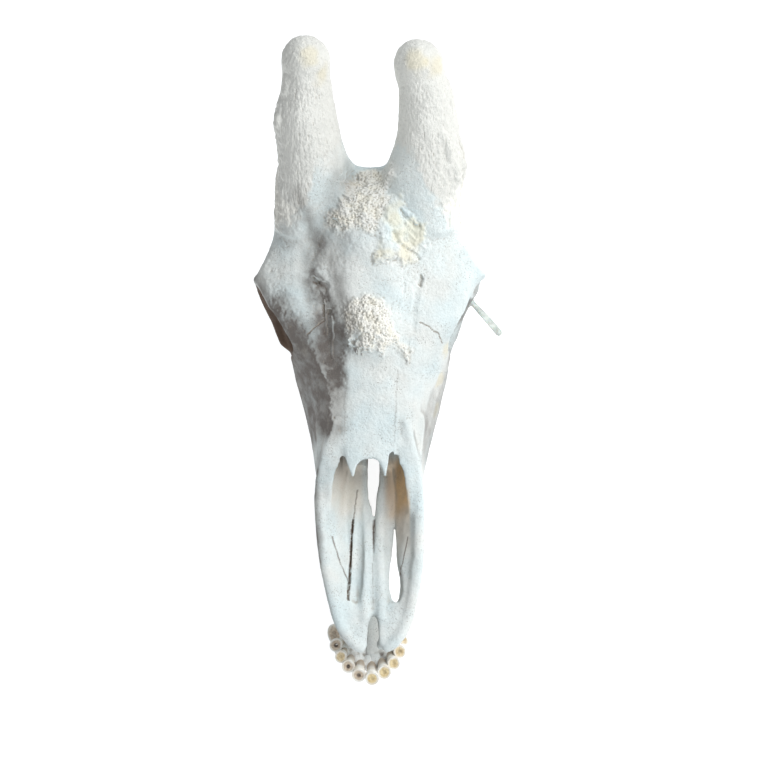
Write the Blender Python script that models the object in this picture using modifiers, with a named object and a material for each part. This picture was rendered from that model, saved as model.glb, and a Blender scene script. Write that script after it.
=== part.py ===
"""Giraffe skull with its lower jaw, life size, resting on the lower edge of the jaw.

The frame while modelling: the tips of the premaxillae are at y = 0, the snout points to -Y, the animal's left is +X
and the floor is z = 0. The last step moves everything so that the origin is the bottom centre of the box.
"""

import math

import bmesh
import bpy
import numpy as np
from mathutils import Matrix, Vector

GAP = 0.0003  # what touching bones keep between them
SIDES = {"left": 1, "right": -1}

# Driving sizes of the skull, in metres.
SKULL_LENGTH = 0.597  # premaxilla tips to occipital condyles
NASAL_TIP_Y = 0.1855
NASAL_BACK_Y = 0.303
NASAL_HALF_WIDTH = 0.0335
NOTCH_DEPTH = 0.021  # between the spurs of the nasal bones
SPUR_X = 0.0195
ORBIT_CENTRE = Vector((0.105, 0.373, 0.221))
ORBIT_AXIS = Vector((0.870, -0.46, -0.17)).normalized()
ORBIT_RADIUS = 0.034
ORBIT_RIM = 0.008
POSTORBITAL_TIP = Vector((0.1415, 0.408, 0.264))
OSSICONE_FOOT = Vector((0, 0.478, 0.320))  # where the ossicones' middle lines leave the braincase
OSSICONE_RISE = Vector((0, 0.107, 0.140))  # from there to the middle of the ball at their ends
OSSICONE_BALL = 0.0282
OSSICONE_SEAM = ((0.36, 0.334), (0.70, 0.386))  # side view of the plane that parts the ossicones from the skull
TOOTH_ROW_FRONT = 0.192
UPPER_TEETH = (0.019, 0.023, 0.024, 0.028, 0.030, 0.029)  # crown lengths, P2 to M3
LOWER_TEETH = (0.017, 0.023, 0.024, 0.026, 0.029, 0.035)
CONDYLE_CENTRE = Vector((0.084, 0.500, 0.176))
CONDYLE_RADII = Vector((0.021, 0.010, 0.009))
JAW_TURN = math.radians(-0.9)  # the dry jaw lies slightly askew
JAW_PIVOT = Vector((0, 0.50, 0))
JAW_SHIFT = -0.0016
REST_LEVEL = 0.0012  # the jaw's lower edge is flattened up to here

VOXEL = 0.0022
TRIANGLES = {"whole": 7800, "mandible": 1000}

BONE = ("bone", (0.86, 0.84, 0.78), 0.75)
HORN_BONE = ("horn_bone", (0.84, 0.81, 0.73), 0.85)
TOOTH_BONE = ("jaw_bone", (0.85, 0.82, 0.75), 0.7)
NYLON = ("nylon", (0.80, 0.83, 0.79), 0.4)


def clear_scene():
    for obj in list(bpy.data.objects):
        bpy.data.objects.remove(obj)


def material(name, colour, roughness):
    made = bpy.data.materials.get(name) or bpy.data.materials.new(name)
    made.use_nodes = True
    shader = made.node_tree.nodes["Principled BSDF"]
    shader.inputs["Base Color"].default_value = (*colour, 1.0)
    shader.inputs["Roughness"].default_value = roughness
    shader.inputs["Metallic"].default_value = 0.0
    return made


def add_object(name, mesh):
    obj = bpy.data.objects.new(name, mesh)
    bpy.context.scene.collection.objects.link(obj)
    return obj


def from_bmesh(name, bm):
    bmesh.ops.recalc_face_normals(bm, faces=bm.faces)
    mesh = bpy.data.meshes.new(name)
    bm.to_mesh(mesh)
    bm.free()
    return add_object(name, mesh)


def as_mesh(obj):
    """Replaces an object by the mesh that the viewport shows, with its place in its points."""
    graph = bpy.context.evaluated_depsgraph_get()
    mesh = bpy.data.meshes.new_from_object(obj.evaluated_get(graph))
    mesh.transform(obj.matrix_world)
    name = obj.name
    bpy.data.objects.remove(obj)
    return add_object(name, mesh)


def line(*points):
    """A smooth line through (station, value) pairs, as a function of the station."""
    stations, values = np.array(points, float).T
    slopes = np.gradient(values, stations)

    def at(station):
        i = int(np.clip(np.searchsorted(stations, station) - 1, 0, len(stations) - 2))
        span = stations[i + 1] - stations[i]
        t = float(np.clip((station - stations[i]) / span, 0, 1))
        start = (2 * t**3 - 3 * t**2 + 1) * values[i] + (t**3 - 2 * t**2 + t) * span * slopes[i]
        end = (3 * t**2 - 2 * t**3) * values[i + 1] + (t**3 - t**2) * span * slopes[i + 1]
        return float(start + end)

    return at


def closed_curve(corners, per_corner=3):
    """Points on a smooth closed curve through the corners."""
    corners = [np.array(corner, float) for corner in corners]
    count = len(corners)
    points = []
    for i in range(count):
        before, a, b, after = (corners[(i + k) % count] for k in (-1, 0, 1, 2))
        for step in range(per_corner):
            t = step / per_corner
            points.append(
                0.5
                * (
                    2 * a
                    + (b - before) * t
                    + (2 * before - 5 * a + 4 * b - after) * t**2
                    + (3 * a - before - 3 * b + after) * t**3
                )
            )
    return points


def mirrored_section(y, half):
    """A ring across the skull at y, through (x, z) corners given from the top middle to the bottom middle."""
    whole = list(half) + [(-x, z) for x, z in reversed(half[1:-1])]
    return [Vector((x, y, z)) for x, z in closed_curve(whole)]


def oval_section(centre, across, upward, along=Vector((0, 1, 0)), points=16):
    """A ring of half axes across and upward, square to along."""
    side = along.cross(Vector((0, 0, 1))).normalized()
    top = side.cross(along).normalized()
    ring = []
    for k in range(points):
        angle = 2 * math.pi * k / points
        ring.append(centre + side * across * math.cos(angle) + top * upward * math.sin(angle))
    return ring


def loft(name, rings):
    """A closed skin over rings of as many points each, with flat ends."""
    bm = bmesh.new()
    rows = [[bm.verts.new(point) for point in ring] for ring in rings]
    for row, following in zip(rows, rows[1:]):
        for k in range(len(row)):
            after = (k + 1) % len(row)
            bm.faces.new((row[k], row[after], following[after], following[k]))
    bm.faces.new(rows[0])
    bm.faces.new(rows[-1])
    return from_bmesh(name, bm)


def ellipsoid(name, centre, radii, turn=None, segments=24):
    bpy.ops.mesh.primitive_uv_sphere_add(segments=segments, ring_count=segments // 2)
    obj = bpy.context.object
    obj.name = name
    turn = turn or Matrix.Identity(4)
    obj.data.transform(Matrix.Translation(centre) @ turn @ Matrix.Diagonal((*radii, 1.0)))
    return obj


def rod(name, points, closed_ends=True):
    """A round bar through (x, y, z, radius) points, with smooth bends."""
    curve = bpy.data.curves.new(name, "CURVE")
    curve.dimensions = "3D"
    curve.bevel_depth = 1.0
    curve.bevel_resolution = 3
    curve.resolution_u = 6
    curve.use_fill_caps = closed_ends
    spline = curve.splines.new("BEZIER")
    spline.bezier_points.add(len(points) - 1)
    for point, (x, y, z, radius) in zip(spline.bezier_points, points):
        point.co = (x, y, z)
        point.radius = radius
        point.handle_left_type = point.handle_right_type = "AUTO"
    return welded(as_mesh(add_object(name, curve)))


def welded(obj):
    bm = bmesh.new()
    bm.from_mesh(obj.data)
    bmesh.ops.remove_doubles(bm, verts=bm.verts, dist=1e-6)
    bmesh.ops.recalc_face_normals(bm, faces=bm.faces)
    bm.to_mesh(obj.data)
    bm.free()
    return obj


def plate(name, outline, thickness, place=None, smooth=True):
    """A flat outline in its own XY plane, given its thickness and put in its place."""
    curve = bpy.data.curves.new(name, "CURVE")
    curve.dimensions = "2D"
    curve.fill_mode = "BOTH"
    curve.extrude = thickness / 2
    curve.resolution_u = 4
    spline = curve.splines.new("BEZIER")
    spline.bezier_points.add(len(outline) - 1)
    for point, (x, y) in zip(spline.bezier_points, outline):
        point.co = (x, y, 0)
        point.handle_left_type = point.handle_right_type = "AUTO" if smooth else "VECTOR"
    spline.use_cyclic_u = True
    obj = add_object(name, curve)
    obj.matrix_world = place or Matrix.Identity(4)
    bpy.context.view_layer.update()
    return welded(as_mesh(obj))


def side_prism(name, outline, x_low, x_high):
    """A block of a (y, z) outline, from x_low to x_high."""
    bm = bmesh.new()
    near = [bm.verts.new((x_low, y, z)) for y, z in outline]
    far = [bm.verts.new((x_high, y, z)) for y, z in outline]
    bm.faces.new(near)
    bm.faces.new(far)
    for k in range(len(outline)):
        after = (k + 1) % len(outline)
        bm.faces.new((near[k], near[after], far[after], far[k]))
    return from_bmesh(name, bm)


def top_prism(name, outline, z_low, z_high):
    """A block of an (x, y) outline, from z_low to z_high."""
    bm = bmesh.new()
    low = [bm.verts.new((x, y, z_low)) for x, y in outline]
    high = [bm.verts.new((x, y, z_high)) for x, y in outline]
    bm.faces.new(low)
    bm.faces.new(high)
    for k in range(len(outline)):
        after = (k + 1) % len(outline)
        bm.faces.new((low[k], low[after], high[after], high[k]))
    return from_bmesh(name, bm)


def mirrored(obj):
    """A copy of an object on the other side of the skull."""
    copy = obj.data.copy()
    copy.transform(Matrix.Diagonal((-1, 1, 1, 1)))
    copy.flip_normals()
    return add_object(obj.name + "_mirrored", copy)


def combine(base, others, operation, solver="MANIFOLD"):
    """One Boolean of base with a collection of closed meshes, applied, with those meshes then removed."""
    group = bpy.data.collections.new("operands")
    for obj in others:
        group.objects.link(obj)
    step = base.modifiers.new(operation, "BOOLEAN")
    step.operation = operation
    step.operand_type = "COLLECTION"
    step.collection = group
    step.solver = solver
    made = as_mesh(base)
    for obj in list(others):
        bpy.data.objects.remove(obj)
    bpy.data.collections.remove(group)
    return made


def fuse(pieces):
    return combine(pieces[0], pieces[1:], "UNION")


def cut(base, cutters):
    return combine(base, cutters, "DIFFERENCE")


def keep(base, regions):
    """What lies inside all the regions."""
    for region in regions:
        base = combine(base, [region], "INTERSECT")
    return base


def duplicate(obj, name):
    return add_object(name, obj.data.copy())


def largest_surface(obj):
    """Leaves out scraps and sealed hollows: only the largest closed surface stays."""
    bm = bmesh.new()
    bm.from_mesh(obj.data)
    unseen = set(bm.verts)
    islands = []
    while unseen:
        front = [unseen.pop()]
        island = set(front)
        while front:
            vertex = front.pop()
            near = {edge.other_vert(vertex) for edge in vertex.link_edges} & unseen
            unseen -= near
            island |= near
            front.extend(near)
        islands.append(island)
    biggest = max(islands, key=len)
    bmesh.ops.delete(bm, geom=[v for v in bm.verts if v not in biggest], context="VERTS")
    bm.to_mesh(obj.data)
    bm.free()
    return obj


def melted(obj, voxel, passes):
    """Melts the pieces of a bone into one another."""
    remesh = obj.modifiers.new("melt", "REMESH")
    remesh.mode = "VOXEL"
    remesh.voxel_size = voxel
    smooth = obj.modifiers.new("smooth", "SMOOTH")
    smooth.factor = 0.5
    smooth.iterations = passes
    return as_mesh(obj)


def thinned(obj, triangles):
    """Leaves about that many triangles."""
    simpler = obj.modifiers.new("thin", "DECIMATE")
    simpler.ratio = triangles / (2 * len(obj.data.polygons))
    return as_mesh(obj)


# The lines of the braincase and face, as (distance behind the premaxilla tips, height or half width).
ROOF = line((0.15, 0.150), (0.18, 0.178), (0.25, 0.214), (0.32, 0.256), (0.40, 0.302), (0.46, 0.331), (0.50, 0.343),
            (0.523, 0.341), (0.54, 0.302), (0.56, 0.257), (0.58, 0.215))
SHOULDER_X = line((0.15, 0.044), (0.18, 0.047), (0.25, 0.056), (0.30, 0.066), (0.33, 0.086), (0.36, 0.108),
                  (0.39, 0.131), (0.41, 0.141), (0.425, 0.138), (0.44, 0.126), (0.46, 0.117), (0.50, 0.114),
                  (0.53, 0.092), (0.58, 0.045))
SHOULDER_DROP = line((0.15, 0.010), (0.25, 0.015), (0.34, 0.024), (0.38, 0.034), (0.41, 0.044), (0.44, 0.044),
                     (0.50, 0.042), (0.58, 0.014))
FLANK_X = line((0.15, 0.054), (0.18, 0.062), (0.25, 0.0745), (0.30, 0.088), (0.345, 0.096), (0.38, 0.074),
               (0.42, 0.050), (0.48, 0.050), (0.54, 0.062), (0.58, 0.052))
FLANK_Z = line((0.15, 0.120), (0.18, 0.130), (0.25, 0.137), (0.34, 0.165), (0.42, 0.205), (0.52, 0.215), (0.58, 0.190))
BASE_X = line((0.15, 0.036), (0.18, 0.048), (0.25, 0.066), (0.34, 0.068), (0.38, 0.045), (0.44, 0.026), (0.52, 0.040),
              (0.58, 0.030))
BASE_Z = line((0.15, 0.104), (0.18, 0.107), (0.25, 0.114), (0.34, 0.120), (0.38, 0.140), (0.44, 0.152), (0.52, 0.150),
              (0.58, 0.156))
PALATE_RISE = line((0.15, 0.002), (0.18, 0.002), (0.25, 0.008), (0.34, 0.008), (0.38, 0.002), (0.58, 0.0))

# The lines of the premaxillae and the front of the upper jaw.
RIM_X = line((0.0, 0.016), (0.012, 0.0330), (0.03, 0.0435), (0.058, 0.0520), (0.10, 0.0605), (0.15, 0.0645),
             (0.20, 0.064), (0.26, 0.068))
RIM_Z = line((0.0, 0.086), (0.03, 0.094), (0.058, 0.103), (0.10, 0.117), (0.15, 0.136), (0.20, 0.162), (0.26, 0.195))
KEEL_X = line((0.0, 0.014), (0.03, 0.034), (0.058, 0.038), (0.10, 0.038), (0.15, 0.040), (0.20, 0.050), (0.26, 0.062))
KEEL_Z = line((0.0, 0.078), (0.058, 0.084), (0.10, 0.089), (0.15, 0.098), (0.20, 0.108), (0.26, 0.114))

# How far the middle of this skull strays from a straight line.
SWAY = line((0.0, 0.001), (0.10, 0.0), (0.17, -0.0015), (0.22, 0.0), (0.27, 0.003), (0.35, 0.0035), (0.50, 0.0035),
            (0.56, 0.002), (0.62, 0.0))

# The ossicones, as (share of their length, value): distance of the middle from the skull's middle, and half width.
OSSICONE_MIDDLE = {
    "left": line((-0.15, 0.068), (0.2, 0.0715), (0.33, 0.0735), (0.49, 0.0750), (0.70, 0.0741), (0.81, 0.0722),
                 (0.90, 0.0670), (1.10, 0.0638)),
    "right": line((-0.15, 0.062), (0.2, 0.0590), (0.34, 0.0585), (0.50, 0.0626), (0.61, 0.0655), (0.72, 0.0661),
                  (0.82, 0.0636), (1.10, 0.0627)),
}
OSSICONE_WIDE = {
    "left": line((-0.15, 0.046), (0.2, 0.0455), (0.30, 0.0475), (0.38, 0.0425), (0.49, 0.0368), (0.60, 0.0343),
                 (0.70, 0.0318), (0.81, 0.0298), (1.10, 0.0270)),
    "right": line((-0.15, 0.046), (0.2, 0.0450), (0.39, 0.0402), (0.50, 0.0378), (0.61, 0.0371), (0.67, 0.0359),
                  (0.77, 0.0305), (0.93, 0.0275), (1.10, 0.0265)),
}
OSSICONE_END = {"left": 0.975, "right": 1.01}  # share at the middle of the ball

NOSE_SLOPE = ((0.105, 0.112), (0.155, 0.138), (0.238, 0.2095))  # side view of the nasal opening's edge


def face_section(y):
    roof, shoulder = ROOF(y), SHOULDER_X(y)
    half = (
        (0, roof),
        (shoulder * 0.55, roof - SHOULDER_DROP(y) * 0.22),
        (shoulder, roof - SHOULDER_DROP(y)),
        (FLANK_X(y), FLANK_Z(y)),
        (BASE_X(y), BASE_Z(y)),
        (BASE_X(y) * 0.6, BASE_Z(y) + PALATE_RISE(y)),
        (0, BASE_Z(y) + PALATE_RISE(y)),
    )
    return mirrored_section(y, half)


def hull_section(y):
    """The upper jaw in front of the nasal bones is shaped like the hull of a boat."""
    rim_x, rim_z, keel_x, keel_z = RIM_X(y), RIM_Z(y), KEEL_X(y), KEEL_Z(y)
    half = (
        (0, keel_z + 0.010),
        (rim_x * 0.55, keel_z + 0.010 + (rim_z - keel_z) * 0.25),
        (rim_x * 0.86, rim_z),
        (rim_x, rim_z - 0.008),
        (keel_x, keel_z),
        (0, keel_z),
    )
    return mirrored_section(y, half)


def stations(start, end, step):
    return np.linspace(start, end, int(round((end - start) / step)) + 1)


def braincase_and_face():
    return loft("face", [face_section(y) for y in stations(0.155, 0.580, 0.0125)])


def upper_jaw_hull():
    return loft("hull", [hull_section(y) for y in stations(0.004, 0.26, 0.016)])


def nostril_rims():
    """Thick rounded bars from the tips of the premaxillae up to the nasal bones."""
    rim = [(RIM_X(y) - 0.0045, y, RIM_Z(y) - 0.003, 0.0075) for y in (0.03, 0.058, 0.10, 0.15)]
    tip = [(0.012, 0.001, 0.085, 0.006), (0.026, 0.010, 0.089, 0.0072)]
    back = [(0.058, 0.195, 0.160, 0.0075), (0.049, 0.226, 0.189, 0.0075), (0.041, 0.25, 0.207, 0.006)]
    return rod("rim", tip + rim + back)


def palatal_process():
    """The inner branch of a premaxilla runs back beside the midline."""
    return rod("process", [
        (0.010, 0.035, 0.090, 0.007),
        (0.0100, 0.07, 0.092, 0.0082),
        (0.0105, 0.12, 0.099, 0.0075),
        (0.0145, 0.17, 0.107, 0.0070),
        (0.0200, 0.22, 0.114, 0.006),
    ])


def frontal_wing():
    """The roof of the eye socket, out to the postorbital corner."""
    rings = []
    for share in np.linspace(0, 1, 7):
        x = 0.06 + share * (POSTORBITAL_TIP.x - 0.06)
        front = 0.345 + 0.050 * share**1.5
        back = 0.460 - 0.037 * share**1.5
        height = 0.259 + 0.003 * share
        centre = Vector((x, (front + back) / 2, height))
        thick = 0.013 - 0.0055 * share
        ring = []
        for k in range(20):
            angle = 2 * math.pi * k / 20
            ring.append(centre + Vector((0, (back - front) / 2 * math.cos(angle), thick * math.sin(angle))))
        rings.append(ring)
    return loft("wing", rings)


def orbit_turn():
    return ORBIT_AXIS.to_track_quat("Z", "Y").to_matrix().to_4x4()


def orbit_tube():
    """The rim of the eye socket stands out from the skull like a short funnel."""
    rings = []
    for depth, radius in ((0.005, 0.004), (0.0, ORBIT_RIM), (-0.030, 0.013), (-0.060, 0.010)):
        place = Matrix.Translation(ORBIT_CENTRE + ORBIT_AXIS * depth) @ orbit_turn()
        size = ORBIT_RADIUS + radius
        ring = [place @ Vector((size * math.cos(a), size * math.sin(a), 0))
                for a in np.linspace(0, 2 * math.pi, 28, endpoint=False)]
        rings.append(ring)
    return loft("orbit", rings)


def orbit_cutter():
    """The hollow of the eye socket, a blunt cone."""
    rings = []
    for depth, radius in ((0.030, 0.038), (0.004, 0.035), (-0.02, 0.032), (-0.042, 0.024), (-0.055, 0.012)):
        place = Matrix.Translation(ORBIT_CENTRE + ORBIT_AXIS * depth) @ orbit_turn()
        ring = [place @ Vector((radius * math.cos(a), radius * math.sin(a), 0))
                for a in np.linspace(0, 2 * math.pi, 28, endpoint=False)]
        rings.append(ring)
    return loft("orbit_hollow", rings)


def cheek_arch():
    """The thin arch from below the eye socket back to the jaw joint."""
    return rod("arch", [
        (0.078, 0.330, 0.176, 0.013),
        (0.092, 0.360, 0.183, 0.0110),
        (0.105, 0.390, 0.190, 0.0092),
        (0.1135, 0.420, 0.192, 0.0078),
        (0.112, 0.450, 0.193, 0.0076),
        (0.104, 0.478, 0.196, 0.0085),
        (0.088, 0.505, 0.200, 0.0105),
        (0.068, 0.523, 0.205, 0.013),
    ])


def postorbital_bar():
    return rod("bar", [
        (0.128, 0.420, 0.266, 0.009),
        (0.130, 0.413, 0.243, 0.0065),
        (0.120, 0.406, 0.215, 0.0060),
        (0.109, 0.397, 0.192, 0.0075),
    ])


def jaw_joint_block():
    return ellipsoid("joint", Vector((0.080, 0.507, 0.197)), (0.026, 0.022, 0.013))


def ossicone(name):
    """A blunt bony horn with a ball end, swollen where it grows out of the skull. The two are not quite alike."""
    side, middle, wide = SIDES[name], OSSICONE_MIDDLE[name], OSSICONE_WIDE[name]
    across = Vector((1, 0, 0))
    deep = OSSICONE_RISE.cross(across).normalized()

    def spot(share):
        point = OSSICONE_FOOT + OSSICONE_RISE * share
        return Vector((side * middle(share) - SWAY(point.y), point.y, point.z))

    rings = []
    end = OSSICONE_END[name]
    for share in list(np.linspace(-0.15, end - 0.02, 17)):
        radius = wide(share)
        thick = min(0.92 * radius, 0.0355)
        ring = []
        for k in range(24):
            angle = 2 * math.pi * k / 24
            ring.append(spot(share) + across * radius * math.cos(angle) + deep * thick * math.sin(angle))
        rings.append(ring)
    return [loft("ossicone", rings), ellipsoid("ball", spot(end), (OSSICONE_BALL,) * 3)]


def bosses():
    """Rough swellings of extra bone on the forehead: one between the eyes and one before the ossicones."""
    front = ellipsoid("front_boss", Vector((0.002, 0.336, 0.267)), (0.030, 0.032, 0.014),
                      Matrix.Rotation(math.radians(32), 4, "X"))
    hind = ellipsoid("hind_boss", Vector((0.002, 0.455, 0.328)), (0.041, 0.047, 0.014),
                     Matrix.Rotation(math.radians(22), 4, "X"))
    return [front, hind]


def occiput():
    """The back of the skull: nuchal crest, condyles, and the bones under the ear."""
    crest = rod("crest", [
        (-0.070, 0.536, 0.222, 0.008),
        (-0.048, 0.550, 0.254, 0.009),
        (0.0, 0.548, 0.262, 0.008),
        (0.048, 0.550, 0.254, 0.009),
        (0.070, 0.536, 0.222, 0.008),
    ])
    pieces = [crest]
    for side in SIDES.values():
        pieces.append(ellipsoid("condyle", Vector((side * 0.021, 0.578, 0.168)), (0.0155, 0.018, 0.021)))
        pieces.append(rod("paroccipital", [
            (side * 0.052, 0.558, 0.200, 0.013),
            (side * 0.050, 0.562, 0.160, 0.009),
            (side * 0.046, 0.560, 0.125, 0.006),
        ]))
        pieces.append(ellipsoid("bulla", Vector((side * 0.044, 0.533, 0.145)), (0.013, 0.019, 0.016)))
        pieces.append(ellipsoid("mastoid", Vector((side * 0.066, 0.540, 0.205)), (0.014, 0.018, 0.033)))
    return pieces


def pterygoid():
    """The thin upright wall beside the opening behind the palate."""
    outline = ((0.335, 0.118), (0.375, 0.122), (0.41, 0.110), (0.435, 0.130), (0.46, 0.158), (0.44, 0.185),
               (0.38, 0.185), (0.34, 0.150))
    place = Matrix.Translation((0.024, 0, 0)) @ side_view()
    return plate("pterygoid", outline, 0.006, place)


def side_view():
    """Turns a flat outline drawn as (y, z) upright, square to X."""
    return Matrix(((0, 0, 1, 0), (1, 0, 0, 0), (0, 1, 0, 0), (0, 0, 0, 1)))


def both_sides(piece):
    return [piece, mirrored(piece)]


def nasal_cavity():
    """The hollow behind the nostrils, closed above by the nasal bones."""
    half_width = line((0.14, 0.046), (0.20, 0.045), (0.25, 0.039), (0.30, 0.034), (0.335, 0.024))
    lower = line((0.14, 0.030), (0.20, 0.034), (0.25, 0.036), (0.30, 0.032), (0.335, 0.022))
    bottom = line((0.14, 0.107), (0.20, 0.121), (0.25, 0.135), (0.335, 0.143))
    rings = []
    for y in stations(0.160, 0.335, 0.018):
        top = ROOF(y) - 0.0072 - 0.010 * max(0.0, (y - 0.315) / 0.02)
        half = (
            (0, top),
            (half_width(y) * 0.6, top - 0.002),
            (half_width(y), top - 0.018),
            (lower(y), bottom(y) + 0.006),
            (lower(y) * 0.7, bottom(y)),
            (0, bottom(y)),
        )
        rings.append(mirrored_section(y, half))
    return loft("nasal_cavity", rings)


def jaw_trough():
    """The open trough between the bars of the upper jaw."""
    rim = line((0.045, 0.012), (0.06, 0.026), (0.10, 0.040), (0.15, 0.0475), (0.17, 0.0465), (0.187, 0.0420),
               (0.205, 0.0340), (0.222, 0.0285))
    floor = line((0.045, 0.010), (0.06, 0.022), (0.10, 0.026), (0.15, 0.030), (0.205, 0.031), (0.222, 0.028))
    rings = []
    for y in stations(0.045, 0.222, 0.0118):
        bottom = KEEL_Z(y) + 0.0065
        half = ((0, 0.36), (rim(y), 0.36), (rim(y), RIM_Z(y) - 0.004), (floor(y), bottom), (0, bottom))
        rings.append([Vector((x, y, z)) for x, z in list(half) + [(-x, z) for x, z in reversed(half[1:-1])]])
    return without_nasals(loft("trough", rings))


def without_nasals(block):
    """Keeps a hollow clear of the nasal bones, which reach out over it."""
    return cut(block, [top_prism("nasals", nasal_outline(), 0.160, 0.41)])


def nasal_outline(grow=0.0, side=None):
    """The nasal bones from above, with the spurs at their tips and the notch between them."""
    width, tip, back = NASAL_HALF_WIDTH + grow, NASAL_TIP_Y, NASAL_BACK_Y + grow
    half = [
        (0.0, tip + NOTCH_DEPTH),
        (0.009, tip + NOTCH_DEPTH - 0.001),
        (0.0130, tip + 0.014),
        (SPUR_X - 0.0022, tip),
        (SPUR_X + 0.0022, tip),
        (0.0280 + grow, tip + 0.016),
        (0.0295 + grow, tip + 0.032),
        (width, tip + 0.052),
        (width - 0.003, tip + 0.085),
        (width - 0.006, back),
    ]
    if side is None:
        return half + [(-x, y) for x, y in reversed(half[1:])]
    return [(side * x, y) for x, y in half[1:] + [(GAP / 2, back), (GAP / 2, tip + NOTCH_DEPTH)]]


def nostril_opening():
    """All that lies before and above the edge of the nasal opening, except the nasal bones."""
    edge = list(NOSE_SLOPE)
    outline = [(edge[0][0], 0.40)] + edge + [(edge[-1][0] + 0.001, 0.40)]
    return without_nasals(side_prism("opening", outline, -0.12, 0.12))


# The long openings in the palate as seen from above. The right one shows more of the jaw beneath it.
PALATE_SLOTS = {
    "left": ((0.0198, 0.085), (0.0205, 0.0665), (0.0252, 0.0555), (0.0326, 0.0565), (0.0365, 0.070), (0.0358, 0.0915),
             (0.0315, 0.106), (0.0300, 0.137), (0.0290, 0.168), (0.0262, 0.168), (0.0242, 0.130), (0.0224, 0.111)),
    "right": ((-0.0190, 0.062), (-0.0228, 0.0545), (-0.0270, 0.0560), (-0.0288, 0.066), (-0.0278, 0.086),
              (-0.0262, 0.112), (-0.0248, 0.128), (-0.0213, 0.128), (-0.0175, 0.106)),
}


def palate_slots():
    """The long openings in the floor of the nose, one in each side and one at the midline behind."""
    slots = []
    for outline in PALATE_SLOTS.values():
        slots.append(top_prism("slot", outline, 0.05, 0.16))
    middle = ((0.0030, 0.158), (0.0075, 0.185), (0.0115, 0.207), (0.0105, 0.250), (-0.0040, 0.250), (-0.0030, 0.207),
              (0.0, 0.181))
    slots.append(top_prism("middle_slot", middle, 0.05, 0.135))
    tips = ((0.0, 0.046), (0.0060, 0.036), (0.0068, 0.022), (0.0050, -0.02), (-0.0075, -0.02), (-0.0088, 0.012),
            (-0.0068, 0.032))
    slots.append(top_prism("tip_notch", tips, 0.05, 0.16))
    return slots


def throat():
    """The opening behind the hard palate, between the pterygoid walls."""
    return ellipsoid("throat", Vector((0, 0.395, 0.140)), (0.019, 0.060, 0.034))


def temple_hollow():
    """The space behind the eye socket for the jaw muscle, between braincase and cheek arch."""
    return ellipsoid("temple", Vector((0.094, 0.446, 0.226)), (0.034, 0.042, 0.044))


def spinal_opening():
    return rod("spinal_opening", [(0, 0.530, 0.192, 0.014), (0, 0.57, 0.186, 0.016), (0, 0.63, 0.178, 0.020)])


def molar(length, width, height, lobes):
    """A cheek tooth standing on the floor: a row of rounded lobes, worn flat, with grooves between them."""
    pieces = []
    for lobe in range(lobes):
        centre = length * ((lobe + 0.5) / lobes - 0.5)
        half = 0.56 * length / lobes
        rings = []
        for share, size in ((0.0, 0.80), (0.55, 1.0), (1.0, 0.90)):
            ring = []
            for k in range(8):
                angle = 2 * math.pi * (k + 0.5) / 8
                ring.append(Vector((
                    size * width / 2 * 1.06 * math.cos(angle),
                    centre + size * half * 1.06 * math.sin(angle),
                    height * share,
                )))
            rings.append(ring)
        pieces.append(loft("lobe", rings))
    return fuse(pieces) if lobes > 1 else pieces[0]


def bite_height(y):
    """The level at which the upper and lower cheek teeth meet."""
    return 0.0975 + 0.045 * (y - TOOTH_ROW_FRONT)


def tooth_row(lengths, lobes, centre_x, widths, root, upper, side):
    """One side's cheek teeth, each a little inside its neighbour's place, with the crowns worn to the bite."""
    teeth = []
    y = TOOTH_ROW_FRONT + (0.0 if upper else 0.004)
    for number, length in enumerate(lengths):
        middle = y + length / 2
        bite = bite_height(middle)
        height = (root(middle) - bite - 0.0006) if upper else (bite - 0.0006 - root(middle))
        tooth = molar(length * 0.97, widths[number], height, lobes[number])
        slope = Matrix.Rotation(math.atan(0.045), 4, "X")
        flip = Matrix.Rotation(math.pi, 4, "Y") if upper else Matrix.Identity(4)
        x = side * centre_x(middle) + (SWAY(middle) if upper else 0.0)
        place = Matrix.Translation((x, middle, root(middle))) @ slope @ flip
        tooth.data.transform(place)
        teeth.append(tooth)
        y += length
    return teeth


def upper_teeth(side):
    return tooth_row(
        UPPER_TEETH, (1, 1, 1, 2, 2, 2), line((0.19, 0.052), (0.27, 0.0575), (0.35, 0.0565)),
        (0.018, 0.022, 0.024, 0.026, 0.027, 0.025), lambda y: BASE_Z(max(y, 0.19)) + 0.006, True, side,
    )


def whole_upper_skull():
    """All that is fused above the jaw, as one solid before it is parted at its seams."""
    pieces = [braincase_and_face(), upper_jaw_hull()]
    pieces += both_sides(frontal_wing()) + both_sides(orbit_tube()) + both_sides(jaw_joint_block())
    pieces += bosses() + occiput() + ossicone("left") + ossicone("right")
    body = melted(fuse(pieces), VOXEL, 12)
    hollows = [nasal_cavity(), jaw_trough(), nostril_opening(), throat(), spinal_opening()]
    hollows += both_sides(orbit_cutter()) + both_sides(temple_hollow())
    body = cut(body, hollows)
    late = both_sides(cheek_arch()) + both_sides(postorbital_bar()) + both_sides(pterygoid())
    late += both_sides(nostril_rims()) + both_sides(palatal_process())
    body = fuse([body] + late)
    body = cut(body, palate_slots())
    body = thinned(melted(body, VOXEL, 8), TRIANGLES["whole"])
    for vertex in body.data.vertices:
        vertex.co.x += SWAY(vertex.co.y)
    return largest_surface(body)


def shifted(points, start, end, by):
    """A line of two (y, z) points moved square to itself, towards its upper left for a positive by."""
    across = Vector((-(end[1] - start[1]), end[0] - start[0])).normalized() * by
    return [(y + across.x, z + across.y) for y, z in points]


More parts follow.
